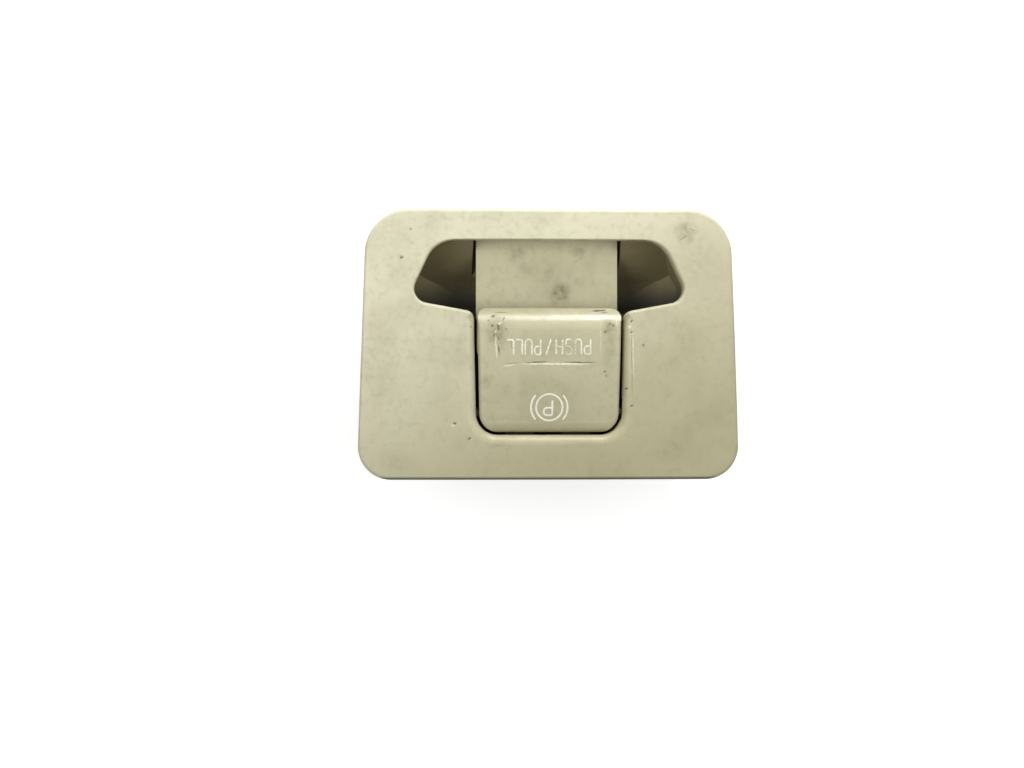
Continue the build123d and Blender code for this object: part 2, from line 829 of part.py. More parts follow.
# Mechanism frame: plate, posts, pivot ears, spring pegs and the slider's channel
rail_inner = slider_half_width + loose_gap
channel_start = slider_low_y - pull_travel - seat_gap
channel_end = slider_high_y + push_travel + seat_gap
leg_sweep = pull_travel + fork_leg_thickness / 2 + loose_gap
front_spring_points = [(side * front_spring_x, front_spring_y) for side in (-1, 1)]
rear_spring_points = [(side * rear_spring_x, rear_spring_y) for side in (-1, 1)]
front_peg_radius = front_spring_radius - spring_wire_radius - spring_peg_gap
rear_peg_radius = rear_spring_radius - spring_wire_radius - spring_peg_gap
bumper_top = (
    pivot_z
    - (pivot_y - cavity_middle_y) * sin(radians(push_angle))
    + (cavity_middle_z - pivot_z) * cos(radians(push_angle))
    - web_radius
    - bumper_gap
)
with BuildPart() as mechanism_frame:
    with BuildSketch(Plane.XY.offset(frame_top)):
        with Locations((0, (frame_low_y + frame_high_y) / 2)):
            RectangleRounded(2 * frame_half_width, frame_high_y - frame_low_y, frame_corner)
    extrude(amount=-frame_plate)
    with BuildSketch(Plane.XY.offset(frame_top)):
        with Locations(*assembly_points):
            Circle(frame_post_radius)
    extrude(amount=boss_bottom - frame_top)
    with BuildSketch(Plane.XY.offset(frame_top)):
        with Locations(*front_spring_points):
            Circle(front_peg_radius)
        with Locations(*rear_spring_points):
            Circle(rear_peg_radius)
    extrude(amount=spring_peg_height)
    for side in (-1, 1):
        with BuildSketch(cross_section(side * frame_ear_inner)):
            with Locations(pivot_in_section):
                Circle(frame_eye_radius)
            with Locations((pivot_y, pivot_z)):
                Rectangle(
                    2 * frame_eye_radius, pivot_z - frame_top, align=(Align.CENTER, Align.MAX)
                )
        extrude(amount=side * frame_ear_thickness)
    # slider channel with an end stop at each end
    channel_middle_y = (channel_start + channel_end) / 2
    with BuildSketch(Plane.XY.offset(frame_under)):
        with Locations((0, channel_middle_y)):
            Rectangle(
                2 * (rail_inner + rail_wall), channel_end - channel_start + 2 * end_stop_wall
            )
            Rectangle(2 * rail_inner, channel_end - channel_start, mode=Mode.SUBTRACT)
    extrude(amount=-rail_depth)
    # windows for the fork legs, the light pipe's hole and the screw holes
    with BuildSketch(Plane.XY.offset(frame_under)):
        with Locations((-fork_leg_x, pivot_y), (fork_leg_x, pivot_y)):
            Rectangle(fork_leg_width + 2 * loose_gap, 2 * leg_sweep)
        with Locations((0, symbol_y)):
            Circle(pipe_radius + screw_clearance)
    extrude(amount=frame_plate, mode=Mode.SUBTRACT)
    with BuildSketch(Plane.XY.offset(frame_under)):
        with Locations(*assembly_points):
            Circle(screw_radius + screw_clearance)
    extrude(amount=boss_bottom - frame_under, mode=Mode.SUBTRACT)
    with BuildSketch(cross_section(-frame_ear_outer)):
        with Locations(pivot_in_section):
            Circle(bush_outer_radius + pin_press)
    extrude(amount=2 * frame_ear_outer, mode=Mode.SUBTRACT)
mechanism_frame.part.label = "mechanism_frame"

front_springs = make_spring(front_spring_points, front_spring_radius, frame_top, carrier_under)
front_springs.part.label = "front_springs"
rear_springs = make_spring(
    rear_spring_points, rear_spring_radius, frame_top, tail_top - tail_thickness
)
rear_springs.part.label = "rear_springs"

# Rubber stops under the handle's web
with BuildPart() as push_bumpers:
    with BuildSketch(Plane.XY.offset(frame_top)):
        with Locations((-bumper_x, bumper_y), (bumper_x, bumper_y)):
            Circle(bumper_radius)
    extrude(amount=bumper_top - frame_top)
    fillet(push_bumpers.faces().group_by(Axis.Z)[-1].edges(), radius=bumper_radius / 4)
push_bumpers.part.label = "push_bumpers"

# Slider, moved along Y by the fork's round tips
with BuildPart() as slider:
    with BuildSketch(Plane.XY.offset(slider_top)):
        with Locations((0, (slider_low_y + slider_high_y) / 2)):
            Rectangle(2 * slider_half_width, slider_high_y - slider_low_y)
    extrude(amount=-slider_height)
    fillet(slider.edges().filter_by(Axis.Z), radius=slider_round)
    with BuildSketch(Plane.XY.offset(slider_top)):
        with Locations((-fork_leg_x, pivot_y), (fork_leg_x, pivot_y)):
            Rectangle(fork_leg_width + 2 * loose_gap, 2 * (fork_tip_radius + running_fit))
    extrude(amount=-tip_slot_depth, mode=Mode.SUBTRACT)
    pipe_slot_start = symbol_y - pipe_radius - push_travel - loose_gap
    pipe_slot_end = symbol_y + pipe_radius + pull_travel + loose_gap
    with BuildSketch(Plane.XY.offset(slider_top)):
        with Locations((0, (pipe_slot_start + pipe_slot_end) / 2)):
            Rectangle(2 * (pipe_radius + loose_gap), pipe_slot_end - pipe_slot_start)
    extrude(amount=-slider_height, mode=Mode.SUBTRACT)
slider.part.label = "slider"

# Sprung contact fingers under the slider
wiper_start = slider_low_y + wiper_inset
wiper_root = wiper_start + wiper_base_width
wiper_line_z = slider_under - wiper_thickness / 2
wiper_tip_y = wiper_root + wiper_reach
wiper_tip_z = pad_top + wiper_gap + wiper_thickness / 2
with BuildPart() as contact_wipers:
    with BuildSketch(Plane.XY.offset(slider_under)):
        with Locations((0, wiper_start + wiper_base_width / 2)):
            Rectangle(2 * (wiper_outer_x + wiper_width / 2), wiper_base_width)
    extrude(amount=-wiper_thickness)
    for x in wiper_columns:
        with BuildSketch(cross_section(x - wiper_width / 2)):
            with BuildLine():
                Polyline(
                    (wiper_root - wiper_thickness, wiper_line_z),
                    (wiper_root, wiper_line_z),
                    (wiper_tip_y, wiper_tip_z),
                    (wiper_tip_y + wiper_thickness, wiper_tip_z),
                    (wiper_tip_y + wiper_width, wiper_tip_z + wiper_width / 2),
                )
            trace(line_width=wiper_thickness)
        extrude(amount=wiper_width)
contact_wipers.part.label = "contact_wipers"

# Light pipe from the LED up to the symbol
with BuildPart() as light_pipe:
    with BuildSketch(Plane.XY.offset(led_top + pipe_led_gap)):
        with Locations((0, symbol_y)):
            Circle(pipe_radius)
    extrude(amount=pipe_top - led_top - pipe_led_gap)
    with BuildSketch(Plane.XY.offset(frame_top)):
        with Locations((0, symbol_y)):
            Circle(pipe_flange_radius)
    extrude(amount=pipe_flange)
light_pipe.part.label = "light_pipe"

# Long screws that clamp housing and frame to the bezel's bosses
assembly_screws = make_screw(
    assembly_points,
    housing_post_under,
    screw_radius,
    assembly_screw_tip - housing_post_under,
    screw_head_radius,
    screw_head_height,
    (screw_recess_radius, screw_recess_depth),
)
assembly_screws.part.label = "assembly_screws"

# Housing: deep shell with a front flange, posts in its corners and rails for the clips
board_post_top = board_top + board_post_length
cover_post_top = cover_top + cover_post_length
with BuildPart() as housing:
    with BuildSketch(Plane.XY.offset(cover_top)):
        RectangleRounded(2 * housing_half_width, 2 * housing_half_height, housing_corner)
        RectangleRounded(
            2 * inner_half_width, 2 * inner_half_height, inner_corner, mode=Mode.SUBTRACT
        )
    extrude(amount=flange_thickness - cover_top)
    with BuildSketch():
        RectangleRounded(2 * flange_half_width, 2 * housing_half_height, flange_corner)
        RectangleRounded(
            2 * inner_half_width, 2 * inner_half_height, inner_corner, mode=Mode.SUBTRACT
        )
    extrude(amount=flange_thickness)
    for side in (-1, 1):
        for post_y in (assembly_screw_low_y, assembly_screw_high_y):
            with BuildSketch(Plane.XY.offset(housing_post_under)):
                with Locations((side * assembly_screw_x, post_y)):
                    Circle(housing_post_radius)
                rib_length = inner_half_width - assembly_screw_x + housing_wall / 2
                with Locations((side * (assembly_screw_x + rib_length / 2), post_y)):
                    Rectangle(rib_length, rib_width)
            extrude(amount=housing_post_length)
        for end in (-1, 1):
            with BuildSketch(Plane.XY.offset(board_top)):
                with Locations((side * board_screw_x, end * board_screw_y)):
                    Circle(board_post_radius)
                rib_length = inner_half_width - board_screw_x + housing_wall / 2
                with Locations((side * (board_screw_x + rib_length / 2), end * board_screw_y)):
                    Rectangle(rib_length, rib_width)
            extrude(amount=board_post_length)
            with BuildSketch(Plane.XY.offset(cover_top)):
                with Locations((side * cover_screw_x, end * cover_screw_y)):
                    Circle(cover_post_radius)
            extrude(amount=cover_post_length)
    with BuildSketch(Plane.XY.offset(housing_post_under)):
        with Locations(*assembly_points):
            Circle(screw_radius + screw_clearance)
    extrude(amount=housing_post_length, mode=Mode.SUBTRACT)
    with BuildSketch(Plane.XY.offset(housing_post_under)):
        with Locations(*assembly_points):
            Circle(screw_head_radius + screw_clearance)
    extrude(amount=board_top - housing_post_under, mode=Mode.SUBTRACT)
    with BuildSketch(Plane.XY.offset(board_top)):
        with Locations(*board_points):
            Circle(small_screw_radius + thread_gap)
    extrude(amount=board_screw_length - board_thickness, mode=Mode.SUBTRACT)
    with BuildSketch(Plane.XY.offset(cover_top)):
        with Locations(*cover_points):
            Circle(screw_radius + thread_gap)
    extrude(amount=cover_post_length - tip_allowance, mode=Mode.SUBTRACT)
    # rails that hold each retaining clip's root
    rail_offset = (clip_width + clip_rail_width) / 2 + seat_gap
    for side in (-1, 1):
        for end in (-1, 1):
            with BuildSketch(Plane.XY.offset(clip_bottom)):
                with Locations(
                    (side * (housing_half_width + clip_rail_height / 2), end * rail_offset)
                ):
                    Rectangle(clip_rail_height, clip_rail_width)
            extrude(amount=clip_root - clip_bottom)
        with BuildSketch(Plane.XY.offset(clip_bottom)):
            with Locations((side * (housing_half_width + clip_rail_height / 2), 0)):
                Rectangle(clip_rail_height, 2 * rail_offset + clip_rail_width)
        extrude(amount=-clip_rail_width)
housing.part.label = "housing"

# Sheet-metal clips that grip the panel from behind
with BuildPart() as retaining_clips:
    for side in (-1, 1):
        wall_x = side * (housing_half_width + clip_thickness / 2 + thread_gap)
        peak_x = side * (housing_half_width + clip_reach)
        with BuildSketch(Plane.XZ.offset(-clip_width / 2)):
            with BuildLine():
                Polyline(
                    (wall_x, clip_bottom),
                    (wall_x, clip_root),
                    (peak_x, clip_peak),
                    (wall_x + side * clip_thickness, clip_top),
                )
            trace(line_width=clip_thickness)
        extrude(amount=clip_width)
retaining_clips.part.label = "retaining_clips"

# Circuit board and what is soldered on it
header_pin_points = [
    ((column - (pin_columns - 1) / 2) * pin_column_spacing, header_y + row * pin_row_spacing / 2)
    for column in range(pin_columns)
    for row in (-1, 1)
]
with BuildPart() as circuit_board:
    with BuildSketch(Plane.XY.offset(board_top)):
        RectangleRounded(2 * board_half_width, 2 * board_half_height, board_corner)
        with Locations(*board_points):
            Circle(small_screw_radius + screw_clearance, mode=Mode.SUBTRACT)
        with Locations(*header_pin_points):
            Circle(pin_radius + running_fit, mode=Mode.SUBTRACT)
    extrude(amount=-board_thickness)
circuit_board.part.label = "circuit_board"

pad_start = wiper_tip_y - pull_travel - wiper_width
with BuildPart() as contact_pads:
    with BuildSketch(Plane.XY.offset(board_top)):
        for x in wiper_columns:
            for step in range(2):
                with Locations((x, pad_start + pad_length / 2 + step * (pad_length + pad_gap))):
                    Rectangle(pad_width, pad_length)
    extrude(amount=pad_thickness)
contact_pads.part.label = "contact_pads"

with BuildPart() as symbol_led:
    with BuildSketch(Plane.XY.offset(board_top)):
        with Locations((0, symbol_y)):
            Rectangle(led_size, led_size)
    extrude(amount=led_height)
    fillet(symbol_led.edges().filter_by(Axis.Z), radius=led_size / 10)
    with Locations((0, symbol_y, led_top)):
        Cylinder(
            led_dome_radius,
            pipe_led_gap / 2,
            align=(Align.CENTER, Align.CENTER, Align.MIN),
        )
symbol_led.part.label = "symbol_led"

with BuildPart() as control_chip:
    with BuildSketch(Plane.XY.offset(board_top + chip_lead_height / 2)):
        with Locations((chip_x, chip_y)):
            Rectangle(chip_size, chip_size)
    extrude(amount=chip_height)
    chamfer(control_chip.faces().sort_by(Axis.Z)[-1].edges(), length=chip_height / 6)
    with BuildSketch(Plane.XY.offset(board_top)):
        with Locations((chip_x, chip_y)):
            with GridLocations(0, chip_lead_spacing, 1, chip_lead_count):
                Rectangle(chip_size + 2 * chip_lead_length, chip_lead_width)
            with GridLocations(chip_lead_spacing, 0, chip_lead_count, 1):
                Rectangle(chip_lead_width, chip_size + 2 * chip_lead_length)
    extrude(amount=chip_lead_height)
control_chip.part.label = "control_chip"

with BuildPart() as board_resistors:
    with BuildSketch(Plane.XY.offset(board_top)):
        with Locations((resistor_x, resistor_y)):
            with GridLocations(0, resistor_spacing, 1, resistor_count):
                Rectangle(resistor_length, resistor_width)
    extrude(amount=resistor_height)
board_resistors.part.label = "board_resistors"

board_screws = make_screw(
    board_points,
    board_under,
    small_screw_radius,
    board_screw_length - tip_allowance,
    small_head_radius,
    small_head_height,
    (small_recess_radius, small_recess_depth),
)
board_screws.part.label = "board_screws"

# Plug socket on the back of the board
with BuildPart() as connector_header:
    with BuildSketch(Plane.XY.offset(board_under)):
        with Locations((0, header_y)):
            Rectangle(header_width, header_height)
    extrude(amount=header_tip - board_under)
    fillet(connector_header.edges().filter_by(Axis.Z), radius=header_wall / 2)
    with BuildSketch(Plane.XY.offset(board_under - header_base)):
        with Locations((0, header_y)):
            Rectangle(header_width - 2 * header_wall, header_height - 2 * header_wall)
        with Locations((0, header_y + header_height / 2 - header_wall)):
            Rectangle(
                header_key_width, 2 * header_key_depth, align=(Align.CENTER, Align.CENTER)
            )
    extrude(amount=header_tip - board_under + header_base, mode=Mode.SUBTRACT)
    with BuildSketch(Plane.XY.offset(board_under)):
        with Locations(*header_pin_points):
            Circle(pin_radius + pin_press)
    extrude(amount=-header_base, mode=Mode.SUBTRACT)
connector_header.part.label = "connector_header"

with BuildPart() as connector_pins:
    with BuildSketch(Plane.XY.offset(board_top + pin_solder_height)):
        with Locations(*header_pin_points):
            Circle(pin_radius)
    extrude(amount=-(pin_solder_height + board_thickness + header_base + pin_length))
    chamfer(connector_pins.faces().group_by(Axis.Z)[0].edges(), length=pin_radius / 3)
connector_pins.part.label = "connector_pins"

# Rear cover, with a window for the socket and sunk screw heads
with BuildPart() as rear_cover:
    with BuildSketch(Plane.XY.offset(cover_top)):
        RectangleRounded(2 * housing_half_width, 2 * housing_half_height, housing_corner)
        with Locations((0, header_y)):
            Rectangle(
                header_width + 2 * header_opening_gap,
                header_height + 2 * header_opening_gap,
                mode=Mode.SUBTRACT,
            )
        with Locations(*cover_points):
            Circle(screw_radius + screw_clearance, mode=Mode.SUBTRACT)
    extrude(amount=-cover_thickness)
    with BuildSketch(Plane.XY.offset(-housing_depth)):
        with Locations(*cover_points):
            Circle(screw_head_radius + screw_clearance)
    extrude(amount=cover_head_depth, mode=Mode.SUBTRACT)
    chamfer(rear_cover.faces().sort_by(Axis.Z)[0].outer_wire().edges(), length=cover_edge)
rear_cover.part.label = "rear_cover"

cover_screws = make_screw(
    cover_points,
    cover_head_depth - housing_depth,
    screw_radius,
    cover_screw_length,
    screw_head_radius,
    cover_head_depth - seat_gap,
    (screw_recess_radius, cover_head_depth / 2),
)
cover_screws.part.label = "cover_screws"

pieces = [
    bezel,
    handle,
    handle_carrier,
    handle_screws,
    symbol_insert,
    pivot_pins,
    pivot_bushes,
    finger_well,
    well_screws,
    mechanism_frame,
    front_springs,
    rear_springs,
    push_bumpers,
    slider,
    contact_wipers,
    light_pipe,
    assembly_screws,
    housing,
    retaining_clips,
    circuit_board,
    contact_pads,
    symbol_led,
    control_chip,
    board_resistors,
    board_screws,
    connector_header,
    connector_pins,
    rear_cover,
    cover_screws,
]
for piece in pieces:
    export_step(piece.part, f"parts/{piece.part.label}.step")
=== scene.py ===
# %% [markdown]
# # A parking brake switch with a pull handle
#
# The object is a beige switch from a car's dashboard: a domed bezel with a finger recess, a pull
# handle in a slot, and a deep black housing behind it. The construction comes packed as a frame of
# named nodes at their real sizes. This lesson dresses that frame: it keeps every solid where it is,
# gives each one the finish of its real material, and adds the thin ink that a printing pad leaves
# on top. Blender works in metres, so a size in millimetres is multiplied by MM.

from math import cos, radians, sin, sqrt, tan

import bpy
from mathutils import Matrix, Vector


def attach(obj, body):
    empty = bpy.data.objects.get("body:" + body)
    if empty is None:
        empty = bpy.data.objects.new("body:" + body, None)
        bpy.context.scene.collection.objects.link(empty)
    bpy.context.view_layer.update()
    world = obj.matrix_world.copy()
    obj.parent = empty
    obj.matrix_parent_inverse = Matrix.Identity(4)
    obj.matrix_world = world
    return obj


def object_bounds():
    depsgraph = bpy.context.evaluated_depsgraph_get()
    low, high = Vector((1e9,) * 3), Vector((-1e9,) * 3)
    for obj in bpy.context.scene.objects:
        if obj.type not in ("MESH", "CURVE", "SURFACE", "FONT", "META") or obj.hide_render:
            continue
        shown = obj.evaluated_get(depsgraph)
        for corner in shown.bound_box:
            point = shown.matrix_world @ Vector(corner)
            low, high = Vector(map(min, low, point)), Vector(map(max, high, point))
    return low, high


MM = 0.001
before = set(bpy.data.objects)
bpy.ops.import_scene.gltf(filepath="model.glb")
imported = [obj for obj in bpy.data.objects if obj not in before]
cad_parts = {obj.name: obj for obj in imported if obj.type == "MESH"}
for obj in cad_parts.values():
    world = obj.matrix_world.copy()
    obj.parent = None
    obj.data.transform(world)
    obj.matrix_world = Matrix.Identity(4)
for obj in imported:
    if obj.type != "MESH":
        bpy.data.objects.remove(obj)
cad_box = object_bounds()

# %% [markdown]
# ## The camera
#
# The photograph looks almost straight down on the switch, which lies upside down on a table: the
# top of the picture is the switch's lower edge. One pixel of it is 0.211 mm at the bezel. Deeper
# features sit a little to the left, so the camera leans about three degrees towards the
# picture's left side, which is the switch's +X. The lens could be guessed and the distance
# measured, but here the distance is chosen for its perspective and the lens follows from it.

# %% Camera
PICTURE_WIDTH, PICTURE_HEIGHT = 1024, 768
MM_PER_PIXEL = 0.211
SWITCH_PIXEL = (549.0, 344.5)
FACE_Z = 3.0 * MM
CAMERA_DISTANCE = 0.42
CAMERA_LEAN = radians(3.0)
SENSOR_WIDTH = 36.0
NEAREST_SEEN = 0.01


def deselect():
    """Nothing is selected, so that the next operator touches only what it should."""
    if bpy.context.mode != "OBJECT":
        bpy.ops.object.mode_set(mode="OBJECT")
    bpy.ops.object.select_all(action="DESELECT")


target = Vector((
    -(PICTURE_WIDTH / 2 - SWITCH_PIXEL[0]) * MM_PER_PIXEL * MM,
    (PICTURE_HEIGHT / 2 - SWITCH_PIXEL[1]) * MM_PER_PIXEL * MM,
    FACE_Z,
))
camera_place = target + CAMERA_DISTANCE * Vector((sin(CAMERA_LEAN), 0, cos(CAMERA_LEAN)))
deselect()
bpy.ops.object.camera_add(location=camera_place)
camera = bpy.context.object
backward = (camera_place - target).normalized()
rightward = Vector((0, -1, 0)).cross(backward).normalized()
upward = backward.cross(rightward)
turned = Matrix((rightward, upward, backward)).transposed().to_4x4()
camera.matrix_world = Matrix.Translation(camera_place) @ turned
camera.data.sensor_width = SENSOR_WIDTH
camera.data.lens = SENSOR_WIDTH * CAMERA_DISTANCE / (PICTURE_WIDTH * MM_PER_PIXEL * MM)
camera.data.clip_start = NEAREST_SEEN
bpy.context.scene.camera = camera
print("camera lens", round(camera.data.lens, 1), "mm at", [round(v, 4) for v in camera_place])

# %% [markdown]
# ## Colours and nodes
#
# A colour is written as the hex value that a colour picker shows, and Blender wants it linear, so
# one function turns it. Another adds a shader node with its settings and its links and hands back
# one output, which keeps each material short enough to read as a recipe. Patterns read the
# object's own coordinates, in metres, so that they have a real size and move with their piece.

# %% Colours and nodes
COLOURS = {"data_type": "RGBA"}
MIXED = 2


def linear(hex_colour):
    """An sRGB hex colour as linear RGBA."""
    channels = [int(hex_colour[i:i + 2], 16) / 255 for i in (1, 3, 5)]
    return [c / 12.92 if c <= 0.04045 else ((c + 0.055) / 1.055) ** 2.4 for c in channels] + [1.0]


def add_node(tree, kind, inputs=None, out=0, **settings):
    """One output of a new node; each input is a value, or a socket to link from."""
    node = tree.nodes.new("ShaderNode" + kind)
    for name, value in settings.items():
        setattr(node, name, value)
    for name, value in (inputs or {}).items():
        if isinstance(value, bpy.types.NodeSocket):
            tree.links.new(value, node.inputs[name])
        else:
            node.inputs[name].default_value = value
    return node.outputs[out]


def start_material(name, **sockets):
    """A new material with its shader's fixed values set, and the tree to build on."""
    material = bpy.data.materials.new(name)
    material.use_nodes = True
    tree = material.node_tree
    shader = tree.nodes["Principled BSDF"]
    for socket, value in sockets.items():
        shader.inputs[socket.replace("_", " ")].default_value = value
    return material, tree, shader, add_node(tree, "TexCoord", out="Object")


print("mid grey in linear light:", round(linear("#808080")[0], 3))

# %% [markdown]
# ## Clouds of tone and gloss
#
# Almost every real surface is a little uneven in tone and gloss. A noise of a real size, spread
# smoothly between two results, draws that. Noise rarely leaves the middle of its range, so the
# usual ends are well inside zero and one.

# %% Clouds
SMOOTH = {"interpolation_type": "SMOOTHSTEP"}
USUAL_ENDS = (0.3, 0.7)
CLOUD_DETAIL = 3.0
CLOUD_ROUGHNESS = 0.55


def cloudy(tree, place, size_mm, ends=USUAL_ENDS, results=(0.0, 1.0), detail=CLOUD_DETAIL):
    """Clouds about size_mm across that go from one result to the other."""
    clouds = add_node(tree, "TexNoise", {
        "Vector": place, "Scale": 1 / (size_mm * MM), "Detail": detail,
        "Roughness": CLOUD_ROUGHNESS})
    return add_node(tree, "MapRange", {
        "Value": clouds, "From Min": ends[0], "From Max": ends[1],
        "To Min": results[0], "To Max": results[1]}, **SMOOTH)


print("clouds spread between", USUAL_ENDS, "of the noise")

# %% [markdown]
# ## The table
#
# The switch lies on a white sheet. Its paper is a matt white with a faint mottle. Camera, glossy
# and transmission rays see it brighter than it lights things, so the picture's ground comes out
# white while the object is lit at a plain level and keeps its shadow. A sheet exactly at the
# housing's bottom would flicker against it, so it lies a hair lower.

# %% Table
TABLE_SIZE = 3.0
TABLE_GAP = 0.2 * MM
TABLE_GLOW = 0.66
PAPER_ROUGHNESS = 0.9
PAPER_MOTTLE_MM = 40


def seen_directly(tree):
    """One for the rays that show the background itself, and nothing for those that light."""
    ray = add_node(tree, "LightPath").node.outputs
    seen = add_node(
        tree, "Math", {0: ray["Is Camera Ray"], 1: ray["Is Glossy Ray"]}, operation="MAXIMUM")
    return add_node(tree, "Math", {0: seen, 1: ray["Is Transmission Ray"]}, operation="MAXIMUM")


deselect()
bpy.ops.mesh.primitive_plane_add(size=TABLE_SIZE, location=(0, 0, cad_box[0][2] - TABLE_GAP))
table = bpy.context.object
table.name = "table"
paper, tree, shader, place = start_material("matt_white_sheet", Roughness=PAPER_ROUGHNESS)
mottle = cloudy(tree, place, PAPER_MOTTLE_MM)
tones = {0: mottle, 6: linear("#C9C8C5"), 7: linear("#CDCCC9")}
tree.links.new(add_node(tree, "Mix", tones, MIXED, **COLOURS), shader.inputs["Base Color"])
glow = add_node(
    tree, "Math", {0: seen_directly(tree), 1: TABLE_GLOW}, operation="MULTIPLY")
glowing = add_node(tree, "Emission", {"Color": linear("#FFFFFF"), "Strength": glow})
both = add_node(tree, "AddShader", {0: shader.outputs["BSDF"], 1: glowing})
tree.links.new(both, tree.nodes["Material Output"].inputs["Surface"])
table.data.materials.append(paper)
print("table at", round(table.location.z / MM, 2), "mm")

# %% [markdown]
# ## The room
#
# The room is a soft white world. It gives less light from the side of the picture's bottom, where
# the photograph's edges fall off, and anything that looks straight at it sees white.

# %% Room
ROOM_LIGHT = 0.27
ROOM_SHADE = 0.12
SHADE_FROM, SHADE_TO = 0.1, 0.9

world = bpy.data.worlds.new("soft_room")
bpy.context.scene.world = world
world.use_nodes = True
room = world.node_tree
direction = add_node(room, "TexCoord", out="Generated")
room_strength = add_node(room, "MapRange", {
    "Value": add_node(room, "SeparateXYZ", {"Vector": direction}, "Y"), "From Min": SHADE_FROM,
    "From Max": SHADE_TO, "To Min": ROOM_LIGHT, "To Max": ROOM_SHADE}, **SMOOTH)
brightest = add_node(
    room, "Math", {0: room_strength, 1: seen_directly(room)}, operation="MAXIMUM")
room.nodes["Background"].inputs["Color"].default_value = linear("#FFFFFF")
room.links.new(brightest, room.nodes["Background"].inputs["Strength"])
bpy.context.scene.view_settings.view_transform = "Standard"
print("room light", ROOM_LIGHT, "falling to", ROOM_SHADE)

# %% [markdown]
# ## The lamps
#
# The handle's lip carries a white highlight that fades out before its left end, and the edges that
# face the top of the picture are bright. So there is one window at the picture's top, low, close
# and a little to the right, and a pale wall on each side, the left one brighter. The walls are high
# enough that nothing in the recess lies in shadow. Area lamps are used because their size sets how
# soft the shadows and the highlight are.

# %% Lamps
SWITCH_MIDDLE = (0, 0, 0)
WINDOW_PLACE, WINDOW_SIZE, WINDOW_POWER = (-0.036, -0.219, 0.080), (0.075, 0.095), 0.45
WALL_ASIDE, WALL_UP, WALL_SIZE = 0.30, 0.42, (0.30, 0.30)
LEFT_WALL_POWER, RIGHT_WALL_POWER = 1.03, 0.74


def softbox(name, lamp_place, size, power):
    """A large soft lamp that faces the switch."""
    deselect()
    bpy.ops.object.light_add(type="AREA", location=lamp_place)
    lamp = bpy.context.object
    lamp.name = name
    lamp.data.shape = "RECTANGLE"
    lamp.data.size, lamp.data.size_y = size
    lamp.data.energy = power
    lamp.visible_camera = False
    facing = (Vector(SWITCH_MIDDLE) - Vector(lamp_place)).to_track_quat("-Z", "Y")
    lamp.rotation_euler = facing.to_euler()
    print("lamp", name, "of", power, "W")


softbox("window", WINDOW_PLACE, WINDOW_SIZE, WINDOW_POWER)
softbox("left_wall", (WALL_ASIDE, 0.0, WALL_UP), WALL_SIZE, LEFT_WALL_POWER)
softbox("right_wall", (-WALL_ASIDE, 0.0, WALL_UP), WALL_SIZE, RIGHT_WALL_POWER)

# %% [markdown]
# ## Stains and scratches as marks
#
# Noise can't put a stain where the real one is. Each mark is an ellipse at its own place, fading
# out towards its edge, and coordinates pushed about by a finer noise cut that edge ragged. So a
# mark stays one line of numbers: its centre and half sizes in millimetres, its turn in degrees
# and its strength.

# %% Marks
PUSHED_DETAIL = 3.0


def mark(tree, place, centre_mm, half_mm, turn, core):
    """One inside an ellipse, fading to nothing between its core and its edge."""
    local = add_node(tree, "Mapping", {
        "Vector": place, "Location": [c * MM for c in centre_mm] + [0],
        "Rotation": (0, 0, radians(turn)), "Scale": (half_mm[0] * MM, half_mm[1] * MM, 1),
    }, vector_type="TEXTURE")
    flat = add_node(tree, "VectorMath", {0: local, 1: (1, 1, 0)}, operation="MULTIPLY")
    reach = add_node(tree, "VectorMath", {0: flat}, "Value", operation="LENGTH")
    return add_node(tree, "MapRange", {
        "Value": reach, "From Min": core, "From Max": 1.0, "To Min": 1.0, "To Max": 0.0}, **SMOOTH)


def all_marks(tree, place, marks, core):
    """The strongest of many marks at each point."""
    strongest = 0.0
    for centre, half, turn, strength in marks:
        one = {0: mark(tree, place, centre, half, turn, core), 1: strength}
        one = add_node(tree, "Math", one, operation="MULTIPLY")
        strongest = add_node(tree, "Math", {0: strongest, 1: one}, operation="MAXIMUM")
    return strongest


def ragged(tree, place, size_mm, reach_mm):
    """The same coordinates pushed about by up to reach_mm, so that a mark's edge isn't clean."""
    wander = {"Vector": place, "Scale": 1 / (size_mm * MM), "Detail": PUSHED_DETAIL}
    wander = add_node(tree, "TexNoise", wander, "Color")
    centred = add_node(
        tree, "VectorMath", {0: wander, 1: (0.5, 0.5, 0.5)}, operation="SUBTRACT")
    return add_node(
        tree, "VectorMath", {0: centred, 1: (2 * reach_mm * MM,) * 3, 2: place},
        operation="MULTIPLY_ADD")


print("marks are cut ragged by noise of detail", PUSHED_DETAIL)

# %% [markdown]
# ## Soft-touch paint, with painted sheen and shade
#
# The bezel and the handle are moulded in ABS and sprayed with a satin soft-touch paint. Its colour
# goes from a pale painted sheen at one corner of the part to a darker, yellower painted shade at
# the other. The handle's tongue lies deep in the recess and is painted paler, as painted light,
# while fingers polish its lip. A change along one axis of the part draws both.

# %% Painted sheen and shade
SHEEN_TO_SHADE_DIRECTION = (-0.45, 0.9, 0.0)
SHEEN_TO_SHADE_REACH_MM = 34
PAINTED_LIGHT_DEPTHS_MM = (-3, -1)
LIP_FROM_MM, LIP_HEIGHTS_MM = (-5, -2), (0, 2)
LIP_POLISH = -0.12


def along(tree, place, axis, ends_mm, results=(0.0, 1.0)):
    """A value that goes from one result to the other between two places along an axis."""
    return add_node(tree, "MapRange", {
        "Value": add_node(tree, "SeparateXYZ", {"Vector": place}, axis),
        "From Min": ends_mm[0] * MM, "From Max": ends_mm[1] * MM,
        "To Min": results[0], "To Max": results[1]}, **SMOOTH)


